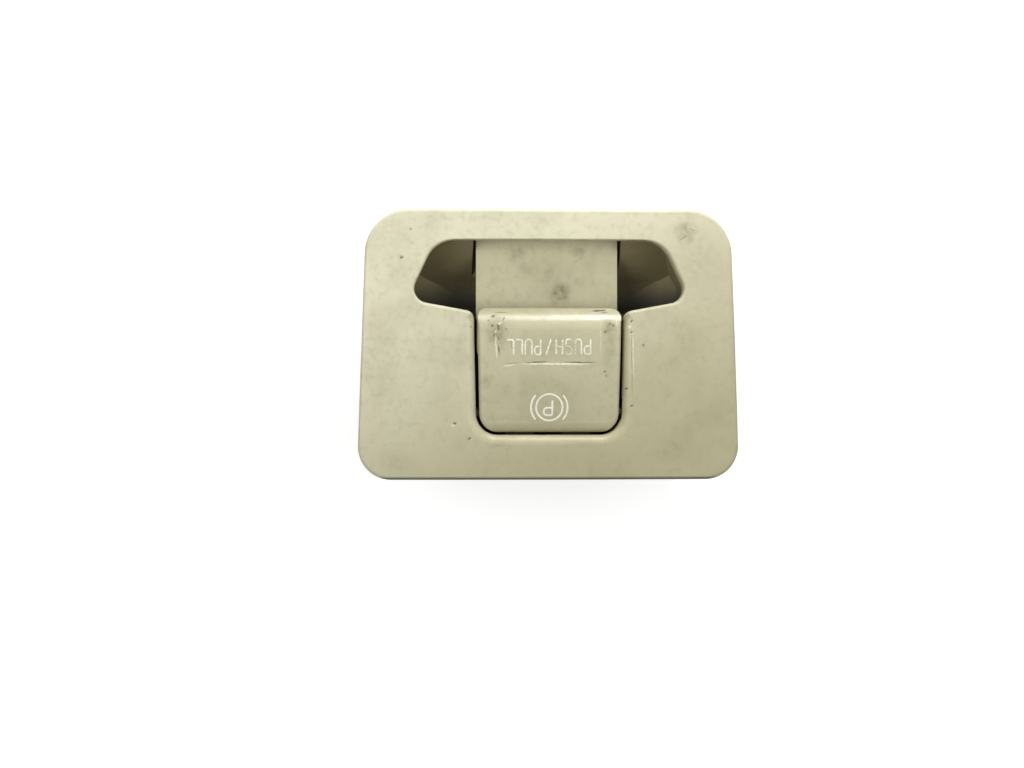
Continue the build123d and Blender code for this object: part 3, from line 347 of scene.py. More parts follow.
def sheen_to_shade(tree, place, sheen_hex, shade_hex):
    """Paint with a painted sheen at one corner of the part and a painted shade at the other."""
    light_falloff = add_node(
        tree, "VectorMath", {0: place, 1: SHEEN_TO_SHADE_DIRECTION}, "Value", operation="DOT_PRODUCT")
    painted_shade_amount = add_node(tree, "MapRange", {
        "Value": light_falloff, "From Min": -SHEEN_TO_SHADE_REACH_MM * MM, "From Max": SHEEN_TO_SHADE_REACH_MM * MM},
        **SMOOTH)
    tones = {0: painted_shade_amount, 6: linear(sheen_hex), 7: linear(shade_hex)}
    return add_node(tree, "Mix", tones, MIXED, **COLOURS)


def handled_paint(tree, place, colour, roughness):
    """The handle's tongue painted paler as painted light, and its polished lip, over its paint."""
    painted_light_on_tongue = along(tree, place, "Z", PAINTED_LIGHT_DEPTHS_MM, (1, 0))
    # painted light: the handle's deep parts, such as the tongue, are painted paler
    tones = {0: painted_light_on_tongue, 6: colour, 7: linear("#D9D4B0")}
    colour = add_node(tree, "Mix", tones, MIXED, **COLOURS)
    near_lip = along(tree, place, "Y", LIP_FROM_MM, (1, 0))
    raised = along(tree, place, "Z", LIP_HEIGHTS_MM)
    lip = add_node(tree, "Math", {0: near_lip, 1: raised}, operation="MULTIPLY")
    polish = add_node(tree, "Math", {0: lip, 1: LIP_POLISH}, operation="MULTIPLY")
    return colour, add_node(tree, "Math", {0: roughness, 1: polish})


# the painted sheen turns to painted shade over this distance
print("paint ages over", 2 * SHEEN_TO_SHADE_REACH_MM, "mm")

# %% [markdown]
# ## Grime
#
# Grime settles in faint clouds, large and small, and thickly in stains where hands and spills
# left it. It tints the paint and takes its gloss away. The stains are broken up by small blotches,
# because a smooth stain reads as a shadow. A list of stains can also hold a wide painted shade,
# which goes through the same steps.

# %% Grime
LARGE_CLOUDS = (11, (0.42, 0.75), (0.0, 0.24), 5)
SMALL_CLOUDS = (1.6, (0.46, 0.72), (0.0, 0.17), 5)
BLOTCHES = (1.5, (0.25, 0.75), (0.35, 1.0), 5)
STAIN_EDGE_MM, STAIN_PUSH_MM = 2.4, 1.5
STAIN_CORE = 0.0
GRIME_DULLS = 0.22


def grime_and_shade_on(tree, place, stains_and_shade):
    """How thick the grime is: clouds everywhere, and stains and painted shade at their places."""
    clouds = {0: cloudy(tree, place, *LARGE_CLOUDS), 1: cloudy(tree, place, *SMALL_CLOUDS)}
    clouds = add_node(tree, "Math", clouds)
    edges = ragged(tree, place, STAIN_EDGE_MM, STAIN_PUSH_MM)
    stains_and_shade_mask = {0: all_marks(tree, edges, stains_and_shade, STAIN_CORE), 1: cloudy(tree, place, *BLOTCHES)}
    stains_and_shade_mask = add_node(tree, "Math", stains_and_shade_mask, operation="MULTIPLY")
    return add_node(tree, "Math", {0: clouds, 1: stains_and_shade_mask}, operation="MAXIMUM")


print("grime clouds of", LARGE_CLOUDS[0], "and", SMALL_CLOUDS[0], "mm")

# %% [markdown]
# ## Scratches and scuffs
#
# A fingernail cuts through the paint and leaves a dark line, and a rub leaves a pale one. Both are
# thin marks, broken along their length. They stay on the upper face, or they would run down the
# side walls like paint. The same two kinds of mark also draw painted shadow and painted highlight
# lines. Grit adds dark specks, more of them where there is grime or painted shade.

# %% Scratches
BREAKS = (0.7, (0.30, 0.52), (0.25, 1.0), 3)
THIN_EDGE_MM, THIN_PUSH_MM = 1.3, 0.16
SCRATCH_CORE = 0.5
HANDLE_FACE_FROM_MM, BEZEL_FACE_FROM_MM, FACE_FADE_MM = 1.6, -0.5, 1.8
SPECK_MM, SPECK_DETAIL, SPECK_ENDS, SPECK_STRENGTH = 0.5, 2, (0.77, 0.80), 0.5
GRIME_HOLDS_GRIT = 0.17


def cuts_rubs_shadows_and_highlights(tree, place, grime_and_shade, cuts_and_shadow_marks, rubs_and_highlight_marks, face_from_mm):
    """How deep the cuts and painted shadow lines are, and how strong the rubs and painted
    highlights.
    """
    edges = ragged(tree, place, THIN_EDGE_MM, THIN_PUSH_MM)
    on_top = along(tree, place, "Z", (face_from_mm, face_from_mm + FACE_FADE_MM))
    broken = {0: cloudy(tree, place, *BREAKS), 1: on_top}
    broken = add_node(tree, "Math", broken, operation="MULTIPLY")
    rubs_and_highlights = {0: all_marks(tree, edges, rubs_and_highlight_marks, SCRATCH_CORE), 1: broken}
    rubs_and_highlights = add_node(tree, "Math", rubs_and_highlights, operation="MULTIPLY")
    cuts_and_shadows = {0: all_marks(tree, edges, cuts_and_shadow_marks, SCRATCH_CORE), 1: broken}
    cuts_and_shadows = add_node(tree, "Math", cuts_and_shadows, operation="MULTIPLY")
    held = add_node(tree, "Math", {0: grime_and_shade, 1: GRIME_HOLDS_GRIT}, operation="MULTIPLY")
    grit = add_node(tree, "TexNoise", {
        "Vector": place, "Scale": 1 / (SPECK_MM * MM), "Detail": SPECK_DETAIL,
        "Roughness": CLOUD_ROUGHNESS})
    grit = add_node(tree, "Math", {0: grit, 1: held})
    specks = add_node(tree, "MapRange", {
        "Value": grit, "From Min": SPECK_ENDS[0], "From Max": SPECK_ENDS[1],
        "To Min": 0.0, "To Max": SPECK_STRENGTH}, **SMOOTH)
    return add_node(tree, "Math", {0: cuts_and_shadows, 1: specks}, operation="MAXIMUM"), rubs_and_highlights


print("marks show above", BEZEL_FACE_FROM_MM, "mm on the bezel and", HANDLE_FACE_FROM_MM,
      "mm on the handle")

# %% [markdown]
# ## The paint as a whole
#
# The layers go on in this order: paint with its painted sheen and shade, grime, a painted shade
# along the bezel's edge at +Y, then rubs and cuts, which on the handle also draw a painted
# highlight and a painted shadow along one line. The paint's own grain and the depth of the cuts are
# bump, because both are far thinner than anything worth modelling. A real grain is finer than a
# pixel of the picture, so it is drawn a quarter of a millimetre wide, where it just shows.

# %% The paint
PLASTIC_IOR = 1.5
PAINT_GLOSS = (3, USUAL_ENDS, (0.38, 0.46), 4)
GRAIN_MM, GRAIN_DEPTH_MM, GRAIN_DETAIL = 0.25, 0.010, 2
SCRATCH_DEPTH_MM = 0.05
EDGE_SHADE_MM, EDGE_SHADE_STRENGTH = (27.7, 28.3), 0.9


def fine_grain(tree, place, size_mm, depth_mm, detail=GRAIN_DETAIL):
    """The normal of a surface with a fine grain of a real size and depth."""
    grain = add_node(tree, "TexNoise", {
        "Vector": place, "Scale": 1 / (size_mm * MM), "Detail": detail,
        "Roughness": CLOUD_ROUGHNESS})
    return add_node(tree, "Bump", {"Height": grain, "Distance": depth_mm * MM, "Strength": 1.0})


def soft_touch_paint(name, tones, stains_and_shade, cuts_and_shadow_marks, rubs_and_highlight_marks, handled):
    """Satin beige paint with a painted sheen and shade across it, grime, and its marks."""
    material, tree, shader, place = start_material(name, IOR=PLASTIC_IOR)
    sheen_hex, shade_hex, grime_and_shade_hex = tones
    colour = sheen_to_shade(tree, place, sheen_hex, shade_hex)
    roughness = cloudy(tree, place, *PAINT_GLOSS)
    if handled:
        colour, roughness = handled_paint(tree, place, colour, roughness)
    grime_and_shade = grime_and_shade_on(tree, place, stains_and_shade)
    layers = [(grime_and_shade, grime_and_shade_hex)]
    if not handled:
        # painted shade: a thin dark line along the bezel's edge at +Y
        layers.append((along(tree, place, "Y", EDGE_SHADE_MM, (0, EDGE_SHADE_STRENGTH)), "#4A4634"))
    face_from = HANDLE_FACE_FROM_MM if handled else BEZEL_FACE_FROM_MM
    cuts_and_shadows, rubs_and_highlights = cuts_rubs_shadows_and_highlights(tree, place, grime_and_shade, cuts_and_shadow_marks, rubs_and_highlight_marks, face_from)
    # on the handle the pale colour also paints a highlight line, and the dark colour a shadow line
    for amount, layer_hex in layers + [(rubs_and_highlights, "#F1EEDC"), (cuts_and_shadows, "#3F3A2B")]:
        over = {0: amount, 6: colour, 7: linear(layer_hex)}
        colour = add_node(tree, "Mix", over, MIXED, **COLOURS)
    dulled = add_node(tree, "Math", {0: grime_and_shade, 1: GRIME_DULLS}, operation="MULTIPLY")
    tree.links.new(colour, shader.inputs["Base Color"])
    tree.links.new(add_node(tree, "Math", {0: roughness, 1: dulled}), shader.inputs["Roughness"])
    grained = fine_grain(tree, place, GRAIN_MM, GRAIN_DEPTH_MM)
    cut = {"Height": cuts_and_shadows, "Distance": SCRATCH_DEPTH_MM * MM, "Strength": 1.0, "Normal": grained}
    tree.links.new(add_node(tree, "Bump", cut, invert=True), shader.inputs["Normal"])
    return material


print("paint grain", GRAIN_MM, "mm wide and", GRAIN_DEPTH_MM, "mm deep")

# %% [markdown]
# ## Dressing a piece
#
# One helper puts a finish on. It first clears what the piece had, so that nothing is left in
# another slot. A node of the frame is given by its name, and a piece made here by itself.

# %% Dressing
def dress(pieces, material):
    """Give CAD nodes or pieces one material."""
    for piece in pieces:
        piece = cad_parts[piece] if isinstance(piece, str) else piece
        piece.data.materials.clear()
        piece.data.materials.append(material)
        print("dressed", piece.name, "in", material.name)


print("nodes to dress:", len(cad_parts))

# %% [markdown]
# ## The bezel's marks
#
# The real bezel has one brown patch near a lower corner, faint wide shades elsewhere, and nicks
# along the edge of the slot, where rings and keys catch it. The widest mark, a band across the
# face's +Y end, is painted shade that darkens that end.

# %% The bezel's paint
BEZEL_STAINS_AND_SHADE = [
    ((-29.1, -23.6), (4.6, 4.4), 20, 0.80), ((29.4, -13.5), (2.8, 2.4), 0, 0.30),
    ((11.0, 21.0), (3.6, 1.5), 0, 0.6), ((-6.8, 20.9), (3.2, 1.4), 0, 0.5),
    ((31.3, 25.2), (9.0, 4.5), -20, 0.35), ((-26.3, 22.1), (7.0, 4.0), 10, 0.42),
    ((-31.0, 8.0), (4.0, 10.0), 0, 0.22), ((22.5, 9.0), (4.0, 9.0), 0, 0.25),
    ((19.0, 21.0), (5.0, 4.0), 30, 0.25), ((-32.0, -18.0), (13.0, 12.0), 0, 0.36),
    # the last mark on this line is painted shade across the face's +Y end
    ((33.0, -22.0), (14.0, 10.0), 0, 0.26), ((2.0, 25.0), (34.0, 7.0), 0, 0.30),
]
BEZEL_SCRATCHES = [
    ((31.1, -18.3), (0.55, 0.4), 20, 0.8), ((29.2, -24.2), (0.4, 0.35), 0, 0.6),
    ((-17.3, -4.9), (0.45, 0.22), 60, 0.85), ((-17.3, -2.6), (0.40, 0.20), 20, 0.8),
    ((-17.35, 4.3), (0.10, 9.2), 1, 0.45), ((-19.8, 0.1), (0.4, 0.25), 45, 0.75),
    ((-16.3, 9.3), (0.4, 0.25), 0, 0.8), ((-17.3, 12.9), (0.45, 0.25), 30, 0.8),
    ((16.6, -3.7), (0.35, 0.25), 0, 0.7), ((20.0, 16.6), (0.5, 0.35), 0, 0.8),
    ((16.9, 19.8), (0.6, 0.25), 40, 0.8), ((-28.2, -22.4), (1.4, 0.14), 35, 0.5),
    ((-30.2, -24.3), (0.9, 0.16), -20, 0.5),
]
BEZEL_SCUFFS = [
    ((-17.65, 2.0), (0.12, 7.0), 1, 0.6), ((-16.9, -3.7), (0.5, 0.5), 0, 0.5),
    ((20.3, 17.1), (0.5, 0.3), 0, 0.5),
]
# soft-touch paint on ABS: a weak, wide gloss over a fine grain, which reads as warm and dry
# the first two colours are a painted sheen and a painted shade across the face; the third is grime,
# and also one painted shade band
dress(["bezel"], soft_touch_paint(
    "soft_touch_paint_bezel", ("#DDD9BC", "#B2AC88", "#8B8460"),
    BEZEL_STAINS_AND_SHADE, BEZEL_SCRATCHES, BEZEL_SCUFFS, handled=False))

# %% [markdown]
# ## The handle's marks
#
# Nails catch the handle at both ends of its lip, so the dark cuts crowd there. Along one line
# between the words and the symbol, a dark line is a painted shadow as well as a bumped cut, and a
# pale line beside it is a painted highlight. The tongue has one round brown stain.

# %% The handle's paint
HANDLE_STAINS = [
    ((-2.8, -11.3), (4.0, 4.2), 0, 1.0), ((-0.8, -14.5), (8.5, 7.5), 0, 0.40),
    ((-7.0, -19.8), (2.6, 2.0), 0, 0.55), ((6.2, -19.4), (3.4, 2.8), 0, 0.55),
    ((4.3, -16.0), (3.2, 2.8), 0, 0.45), ((-6.8, -13.7), (2.6, 2.2), 0, 0.40),
    ((-12.3, -3.8), (2.6, 3.0), 0, 0.9), ((13.1, 7.9), (2.4, 2.2), 0, 0.6),
    ((0.0, 0.2), (13.0, 5.6), 0, 0.40), ((-12.6, 1.0), (2.2, 10.0), 0, 0.5),
    ((11.0, -3.0), (3.4, 5.6), 0, 0.95), ((-4.0, 10.5), (7.0, 5.0), 0, 0.35),
    ((9.5, 10.0), (4.0, 3.6), 0, 0.35), ((0.0, 15.6), (14.0, 2.8), 0, 0.35),
]
HANDLE_CUTS_AND_SHADOW_LINES = [
    ((-10.6, -7.15), (1.9, 0.20), 2, 0.95), ((-11.6, -6.75), (1.0, 0.12), 0, 0.7),
    # the dark lines at y 3.8 to 4.0 are a painted shadow along a step, as well as bumped cuts
    ((10.3, -6.75), (1.9, 0.14), -2, 0.6), ((-6.2, 3.80), (4.6, 0.16), 0, 0.85),
    ((2.6, 3.76), (3.2, 0.18), 1, 0.75), ((7.6, 4.0), (2.0, 0.12), 6, 0.45),
    ((11.9, -5.9), (0.55, 0.35), 30, 0.85), ((10.9, -3.6), (0.35, 0.9), 10, 0.8),
    ((9.7, -5.3), (0.7, 0.22), 60, 0.8), ((12.1, -3.9), (0.4, 0.3), 20, 0.7),
    ((10.8, -1.2), (0.26, 0.6), 8, 0.7), ((10.7, 1.3), (0.2, 1.4), 4, 0.7),
    ((11.7, -1.9), (0.22, 0.5), -20, 0.6), ((9.3, -3.2), (0.35, 0.25), 30, 0.6),
    ((12.9, -5.0), (0.3, 0.22), 0, 0.6), ((-11.6, 5.8), (0.5, 0.3), 30, 0.7),
    ((-11.9, 6.6), (0.25, 0.4), 0, 0.5), ((-12.6, -4.3), (0.5, 0.25), 0, 0.7),
    ((-13.4, -3.9), (0.3, 0.4), 20, 0.75), ((-11.7, -2.6), (0.3, 0.4), 0, 0.6),
    ((8.1, -0.2), (0.16, 1.4), 3, 0.4),
]
HANDLE_RUBS_AND_HIGHLIGHT_LINES = [
    # the pale lines at y 4.1 to 4.5 are a painted highlight along that step
    ((-1.4, 4.12), (9.4, 0.24), 0, 1.0), ((-1.8, 4.18), (6.5, 0.16), 0, 1.0),
    ((8.6, 4.45), (1.9, 0.2), 8, 0.7), ((11.3, 0.6), (0.2, 3.2), 3, 0.75),
    ((10.5, -4.4), (0.7, 0.30), 20, 0.55), ((11.4, -2.7), (0.5, 0.22), 60, 0.5),
    ((-10.7, -1.5), (0.14, 4.4), 0, 0.3), ((-14.1, -4.9), (0.14, 1.2), 0, 0.4),
    ((-12.6, -7.4), (0.8, 0.2), 0, 0.6),
]
# the same paint, a shade deeper as painted shade, and shinier where fingers rub the lip
dress(["handle"], soft_touch_paint(
    "soft_touch_paint_handle", ("#C6C2A2", "#BEB996", "#827B5A"),
    HANDLE_STAINS, HANDLE_CUTS_AND_SHADOW_LINES, HANDLE_RUBS_AND_HIGHLIGHT_LINES, handled=True))

# %% [markdown]
# ## Lines for the lettering
#
# The words for the handle's two actions and the brake tell-tale are pad printed in a thin white
# ink. A font's outlines would lose the rounded ends and even width at this size, so each letter
# is drawn as the printer's artwork is: lines and arcs with a width. Two helpers give points along
# an arc, and along a line whose corners are rounded.

# %% Arcs and rounded lines
ARC_STEPS = 24
CORNER_STEPS = 8


def arc(centre, radius, start, end, count=ARC_STEPS):
    """Points along an arc, from one angle in degrees to another."""
    angles = [radians(start + (end - start) * i / count) for i in range(count + 1)]
    return [(centre[0] + radius * cos(a), centre[1] + radius * sin(a)) for a in angles]


def rounded(corners, radius):
    """A line through corners, each but the ends rounded to the radius."""
    points = [corners[0]]
    for before, corner, after in zip(corners, corners[1:], corners[2:]):
        corner = Vector(corner)
        back, ahead = (Vector(before) - corner).normalized(), (Vector(after) - corner).normalized()
        half = back.angle(ahead) / 2
        first, last = corner + back * radius / tan(half), corner + ahead * radius / tan(half)
        centre = corner + (back + ahead).normalized() * radius / sin(half)
        for i in range(CORNER_STEPS + 1):
            spoke = (first - centre).slerp(last - centre, i / CORNER_STEPS).normalized()
            points.append(tuple(centre + spoke * radius))
    return points + [corners[-1]]


print("points in a quarter round:", CORNER_STEPS + 1)

# %% [markdown]
# ## The handle's domed face
#
# Ink lies on the face, which is arched along the handle and slightly crowned across it. The face
# could be found by casting rays at it, but it is part of a simple round form, so its height comes
# from the same radii that shaped it.

# %% The domed face
CROWN_Z = 5.95
CROWN_ARCH_RADIUS = 113.0
CROWN_PEAK_Y = -3.0
CROWN_CROSS_RADIUS = 560.0


def face_height(x, y):
    """The handle's domed face above a point, in millimetres."""
    drop = CROWN_ARCH_RADIUS - sqrt(CROWN_ARCH_RADIUS ** 2 - (y - CROWN_PEAK_Y) ** 2)
    radius = CROWN_CROSS_RADIUS - drop
    return CROWN_Z - CROWN_CROSS_RADIUS + sqrt(radius ** 2 - x ** 2)


print("the face is", round(face_height(0, CROWN_PEAK_Y), 2), "mm high at its peak")

# %% [markdown]
# ## Round ends
#
# A curve with a round bevel ends flat. So each stroke gets a few points close together over its
# first and last half width, each with a smaller width, which rounds the end off.

# %% Round ends
ROUND_END = ((0.0, 0.25), (0.18, 0.62), (0.45, 0.87), (1.0, 1.0))


def beads_of(line, reach):
    """A line's points with the stroke's relative width at each, narrowing at both ends."""
    start, end = Vector(line[0]), Vector(line[-1])
    inward = (Vector(line[1]) - start).normalized()
    outward = (Vector(line[-2]) - end).normalized()
    beads = [(start + inward * reach * far, size) for far, size in ROUND_END]
    beads += [(Vector(point), 1.0) for point in line[1:-1]]
    return beads + [(end + outward * reach * far, size) for far, size in reversed(ROUND_END)]


print("points that round one end:", len(ROUND_END))

# %% [markdown]
# ## Strokes of ink
#
# All the strokes of one print are splines of a single curve, which becomes one mesh. Every vertex
# is then set onto the handle's face, and the round section is flattened to the thickness of ink.

# %% Strokes of ink
INK_HALF_THICKNESS = 0.035
BEVEL_RESOLUTION = 3


def ink_strokes(name, lines, width_mm, closed=()):
    """Printed strokes of one width as a single mesh on the handle's face."""
    deselect()
    bpy.ops.curve.primitive_bezier_curve_add(location=(0, 0, 0))
    strokes = bpy.context.object
    strokes.name = name
    curve = strokes.data
    curve.splines.clear()
    curve.dimensions = "3D"
    curve.bevel_depth = width_mm / 2
    curve.bevel_resolution = BEVEL_RESOLUTION
    curve.use_fill_caps = True
    drawn = [(beads_of(line, width_mm / 2), False) for line in lines]
    drawn += [([(point, 1.0) for point in line], True) for line in closed]
    for beads, is_closed in drawn:
        spline = curve.splines.new("POLY")
        spline.points.add(len(beads) - 1)
        spline.use_cyclic_u = is_closed
        for point, (bead, size) in zip(spline.points, beads):
            point.co = (bead[0], bead[1], 0, 1)
            point.radius = size
    bpy.ops.object.convert(target="MESH")
    flatten = 2 * INK_HALF_THICKNESS / width_mm
    for vertex in strokes.data.vertices:
        x, y, z = vertex.co
        vertex.co = (x * MM, y * MM, (face_height(x, y) + z * flatten) * MM)
    deselect()
    strokes.select_set(True)
    bpy.context.view_layer.objects.active = strokes
    bpy.ops.object.mode_set(mode="EDIT")
    bpy.ops.mesh.select_all(action="SELECT")
    bpy.ops.mesh.normals_make_consistent(inside=False)
    bpy.ops.object.mode_set(mode="OBJECT")
    bpy.ops.object.shade_smooth()
    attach(strokes, "handle")
    print(name, "strokes:", len(lines) + len(closed), "faces:", len(strokes.data.polygons))
    return strokes


print("ink is", 2 * INK_HALF_THICKNESS, "mm thick")

# %% [markdown]
# ## The words for the two actions
#
# The letters share one foot line and one head line. Each takes its left and right edge, read off
# the photograph, and its own rounding. The printing pad set the words a little aside and askew
# of the part's axes, so the finished lines are shifted and sloped by that much.

# %% Letters
FOOT, HEAD = -1.08, 2.07
BOWL_FOOT, BOWL_ROUND = 0.37, 0.62
CUP_STEPS = 16
S_WAIST, S_HOOK, S_ROUND = 0.45, 0.62, 0.56
CROSSBAR = 0.49
L_ROUND = 0.45
SLASH_PAST = 0.05


def letter_p(left, right):
    bowl = [(left, HEAD), (right, HEAD), (right, BOWL_FOOT), (left, BOWL_FOOT)]
    return [[(left, FOOT), (left, HEAD)], rounded(bowl, BOWL_ROUND)]


def letter_u(left, right):
    radius, middle = (right - left) / 2, (left + right) / 2
    cup = arc((middle, FOOT + radius), radius, 180, 360, CUP_STEPS)
    return [[(left, HEAD)] + cup + [(right, HEAD)]]


def letter_s(left, right):
    line = [(right, HEAD - S_HOOK), (right, HEAD), (left, HEAD), (left, S_WAIST),
            (right, S_WAIST), (right, FOOT), (left, FOOT), (left, FOOT + S_HOOK)]
    return [rounded(line, S_ROUND)]


def letter_h(left, right):
    return [[(left, FOOT), (left, HEAD)], [(right, FOOT), (right, HEAD)],
            [(left, CROSSBAR), (right, CROSSBAR)]]


def letter_l(left, right):
    return [rounded([(left, HEAD), (left, FOOT), (right, FOOT)], L_ROUND)]


def slash(left, right):
    return [[(left, FOOT - SLASH_PAST), (right, HEAD + SLASH_PAST)]]


print("capitals are", round(HEAD - FOOT, 2), "mm high")

# %% [markdown]
# ## Printing the words
#
# The nine signs are set in a row and printed in one go, which keeps them one piece of ink.

# %% The words
WORDS_SCALE = 0.987
WORDS_SHIFT = (0.21, 0.08)
WORDS_SLOPE = 0.010
WORDS_STROKE_MM = 0.33
ROW = [
    (letter_p, -8.89, -7.55), (letter_u, -6.94, -5.63), (letter_s, -4.82, -3.62),
    (letter_h, -2.90, -1.56), (slash, -0.45, 0.585), (letter_p, 1.77, 3.05),
    (letter_u, 3.62, 5.03), (letter_l, 5.69, 7.05), (letter_l, 7.51, 8.90),
]
words = [
    [(x * WORDS_SCALE + WORDS_SHIFT[0], y + x * WORDS_SLOPE + WORDS_SHIFT[1]) for x, y in line]
    for letter, left, right in ROW for line in letter(left, right)
]
action_words = ink_strokes("action_words", words, WORDS_STROKE_MM)

# %% [markdown]
# ## The brake tell-tale
#
# The standard sign for a parking brake is a P in a ring between two brackets. The ring is a closed
# line, so it has no ends to round.

# %% The tell-tale
SYMBOL_CENTRE = (0.05, 13.27)
SYMBOL_STROKE_MM = 0.40
BRACKET_RADIUS, BRACKET_HALF_ANGLE = 3.85, 42
RING_RADIUS, RING_STEPS = 2.78, 72
STEM_X, STEM_FOOT, STEM_HEAD = -0.58, 11.80, 14.92
P_RIGHT, P_BOWL_FOOT, P_ROUND = 1.22, 13.38, 0.66
brackets = [
    arc(SYMBOL_CENTRE, BRACKET_RADIUS, side - BRACKET_HALF_ANGLE, side + BRACKET_HALF_ANGLE)
    for side in (0, 180)
]
ring = arc(SYMBOL_CENTRE, RING_RADIUS, 0, 360, RING_STEPS)[:-1]
stem = [(STEM_X, STEM_FOOT), (STEM_X, STEM_HEAD)]
bowl = rounded(
    [(STEM_X, STEM_HEAD), (P_RIGHT, STEM_HEAD), (P_RIGHT, P_BOWL_FOOT), (STEM_X, P_BOWL_FOOT)],
    P_ROUND)
brake_symbol = ink_strokes(
    "brake_symbol", brackets + [stem, bowl], SYMBOL_STROKE_MM, closed=[ring])

# %% [markdown]
# ## White ink
#
# Pad-printing ink is a dense cream white with a soft gloss. Where fingertips rub it, it thins and
# the beige paint shows through, which is drawn as a change of colour, since so thin a film has no
# edge to see. The words wear most in their first half.

# %% White ink
THIN_CLOUDS_MM, THIN_ENDS, THIN_DETAIL = 0.7, (0.40, 0.62), 4
WORN_EDGE_MM, WORN_PUSH_MM = 0.9, 0.4
WORN_CLOUDS_MM, WORN_ENDS = 0.5, (0.3, 0.6)
INK_GLOSS = (0.6, USUAL_ENDS, (0.34, 0.44), 2)
INK_GRAIN_MM, INK_GRAIN_DEPTH_MM = 0.2, 0.006
WORDS_WEAR, WORDS_WORN_AT = 0.40, [
    ((-4.3, 0.6), (2.4, 2.2), 0, 0.95), ((-2.2, 0.3), (1.6, 1.6), 0, 0.7),
    ((4.4, -0.2), (1.4, 1.6), 0, 0.5),
]
SYMBOL_WEAR, SYMBOL_WORN_AT = 0.12, [((1.5, 11.2), (1.5, 0.8), 30, 0.3)]


def printed_ink(name, worn_areas, wear):
    """Cream-white pad-printing ink that thins to the paint's colour where it is worn."""
    material, tree, shader, place = start_material(name, IOR=PLASTIC_IOR)
    thin = cloudy(tree, place, THIN_CLOUDS_MM, THIN_ENDS, (0.0, wear), THIN_DETAIL)
    edges = ragged(tree, place, WORN_EDGE_MM, WORN_PUSH_MM)
    rubbed = {0: all_marks(tree, edges, worn_areas, SCRATCH_CORE),
              1: cloudy(tree, place, WORN_CLOUDS_MM, WORN_ENDS)}
    rubbed = add_node(tree, "Math", rubbed, operation="MULTIPLY")
    worn = add_node(tree, "Math", {0: thin, 1: rubbed}, operation="MAXIMUM")
    tones = {0: worn, 6: linear("#F7F5E6"), 7: linear("#AFAA8A")}
    tree.links.new(add_node(tree, "Mix", tones, MIXED, **COLOURS), shader.inputs["Base Color"])
    tree.links.new(cloudy(tree, place, *INK_GLOSS), shader.inputs["Roughness"])
    grained = fine_grain(tree, place, INK_GRAIN_MM, INK_GRAIN_DEPTH_MM)
    tree.links.new(grained, shader.inputs["Normal"])
    return material


# pad-printing ink: whiter and a little shinier than the paint, so it catches the eye
dress([action_words], printed_ink("pad_printed_ink_words", WORDS_WORN_AT, WORDS_WEAR))
dress([brake_symbol], printed_ink("pad_printed_ink_symbol", SYMBOL_WORN_AT, SYMBOL_WEAR))

# %% [markdown]
# ## The finger well
#
# The two dark pockets beside the tongue are a tub moulded in brown ABS. Away from the handle it is
# brown with a film of dust that a cloth can't reach, and towards the handle's lip it is painted
# dark grey, as painted shade under the lip. The skin is coarse and matt, so it hardly shines.

# %% The finger well
WELL_SHINE = 0.25
UNDER_LIP_SHADE_MM = (-15, -8)
WELL_DUST = (3, (0.2, 0.7), (0.0, 0.35), 4)
WELL_GLOSS = (2, USUAL_ENDS, (0.6, 0.72), 4)
WELL_GRAIN_MM, WELL_GRAIN_DEPTH_MM = 0.3, 0.012

# moulded ABS in brown: a dry, dusty skin without a highlight, with painted shade under the lip
brown_abs, tree, shader, place = start_material(
    "moulded_abs_brown", IOR=PLASTIC_IOR, Specular_IOR_Level=WELL_SHINE)
tones = {0: cloudy(tree, place, *WELL_DUST), 6: linear("#8F8463"), 7: linear("#7A7156")}
dusty = add_node(tree, "Mix", tones, MIXED, **COLOURS)
# painted shade: dark grey towards the handle's lip
tones = {0: along(tree, place, "Y", UNDER_LIP_SHADE_MM), 6: dusty, 7: linear("#464640")}
tree.links.new(add_node(tree, "Mix", tones, MIXED, **COLOURS), shader.inputs["Base Color"])
tree.links.new(cloudy(tree, place, *WELL_GLOSS), shader.inputs["Roughness"])
grained = fine_grain(tree, place, WELL_GRAIN_MM, WELL_GRAIN_DEPTH_MM)
tree.links.new(grained, shader.inputs["Normal"])
dress(["finger_well"], brown_abs)

# %% [markdown]
# ## Moulded plastics
#
# The housing and the frames inside are injection moulded. What the eye gets is a satin skin with a
# fine spark-eroded grain and faint flow marks. One recipe makes them all, with their own colours,
# roughness and grain.

# %% A recipe for moulded plastic
FLOW_MM, FLOW_ENDS = 12, (0.35, 0.7)
GLOSS_MM, GLOSS_SWING = 5, 0.03


def moulded_plastic(name, base_hex, second_hex, roughness, grain_mm, depth_mm, **sockets):
    """Injection-moulded plastic: two close tones in clouds, and a fine grain."""
    material, tree, shader, place = start_material(name, **sockets)
    tones = {0: cloudy(tree, place, FLOW_MM, FLOW_ENDS), 6: linear(base_hex), 7: linear(second_hex)}
    tree.links.new(add_node(tree, "Mix", tones, MIXED, **COLOURS), shader.inputs["Base Color"])
    swing = (roughness - GLOSS_SWING, roughness + GLOSS_SWING)
    gloss = cloudy(tree, place, GLOSS_MM, USUAL_ENDS, swing)
    tree.links.new(gloss, shader.inputs["Roughness"])
    tree.links.new(fine_grain(tree, place, grain_mm, depth_mm), shader.inputs["Normal"])
    return material


print("flow marks of", FLOW_MM, "mm, gloss clouds of", GLOSS_MM, "mm")

# %% [markdown]
# ## The dark plastics
#
# The housing is what shows from the sides and behind, so its grain is drawn coarse enough to see.
# The frames are stiffer and rougher, since glass fibres come to their surface.

# %% Dark plastics
# ABS from a spark-eroded mould: black with a satin, leathery skin
dress(["housing", "rear_cover", "connector_header"], moulded_plastic(
    "moulded_abs_black", "#1A1A1A", "#242322",
    roughness=0.5, grain_mm=0.35, depth_mm=0.02, IOR=PLASTIC_IOR))
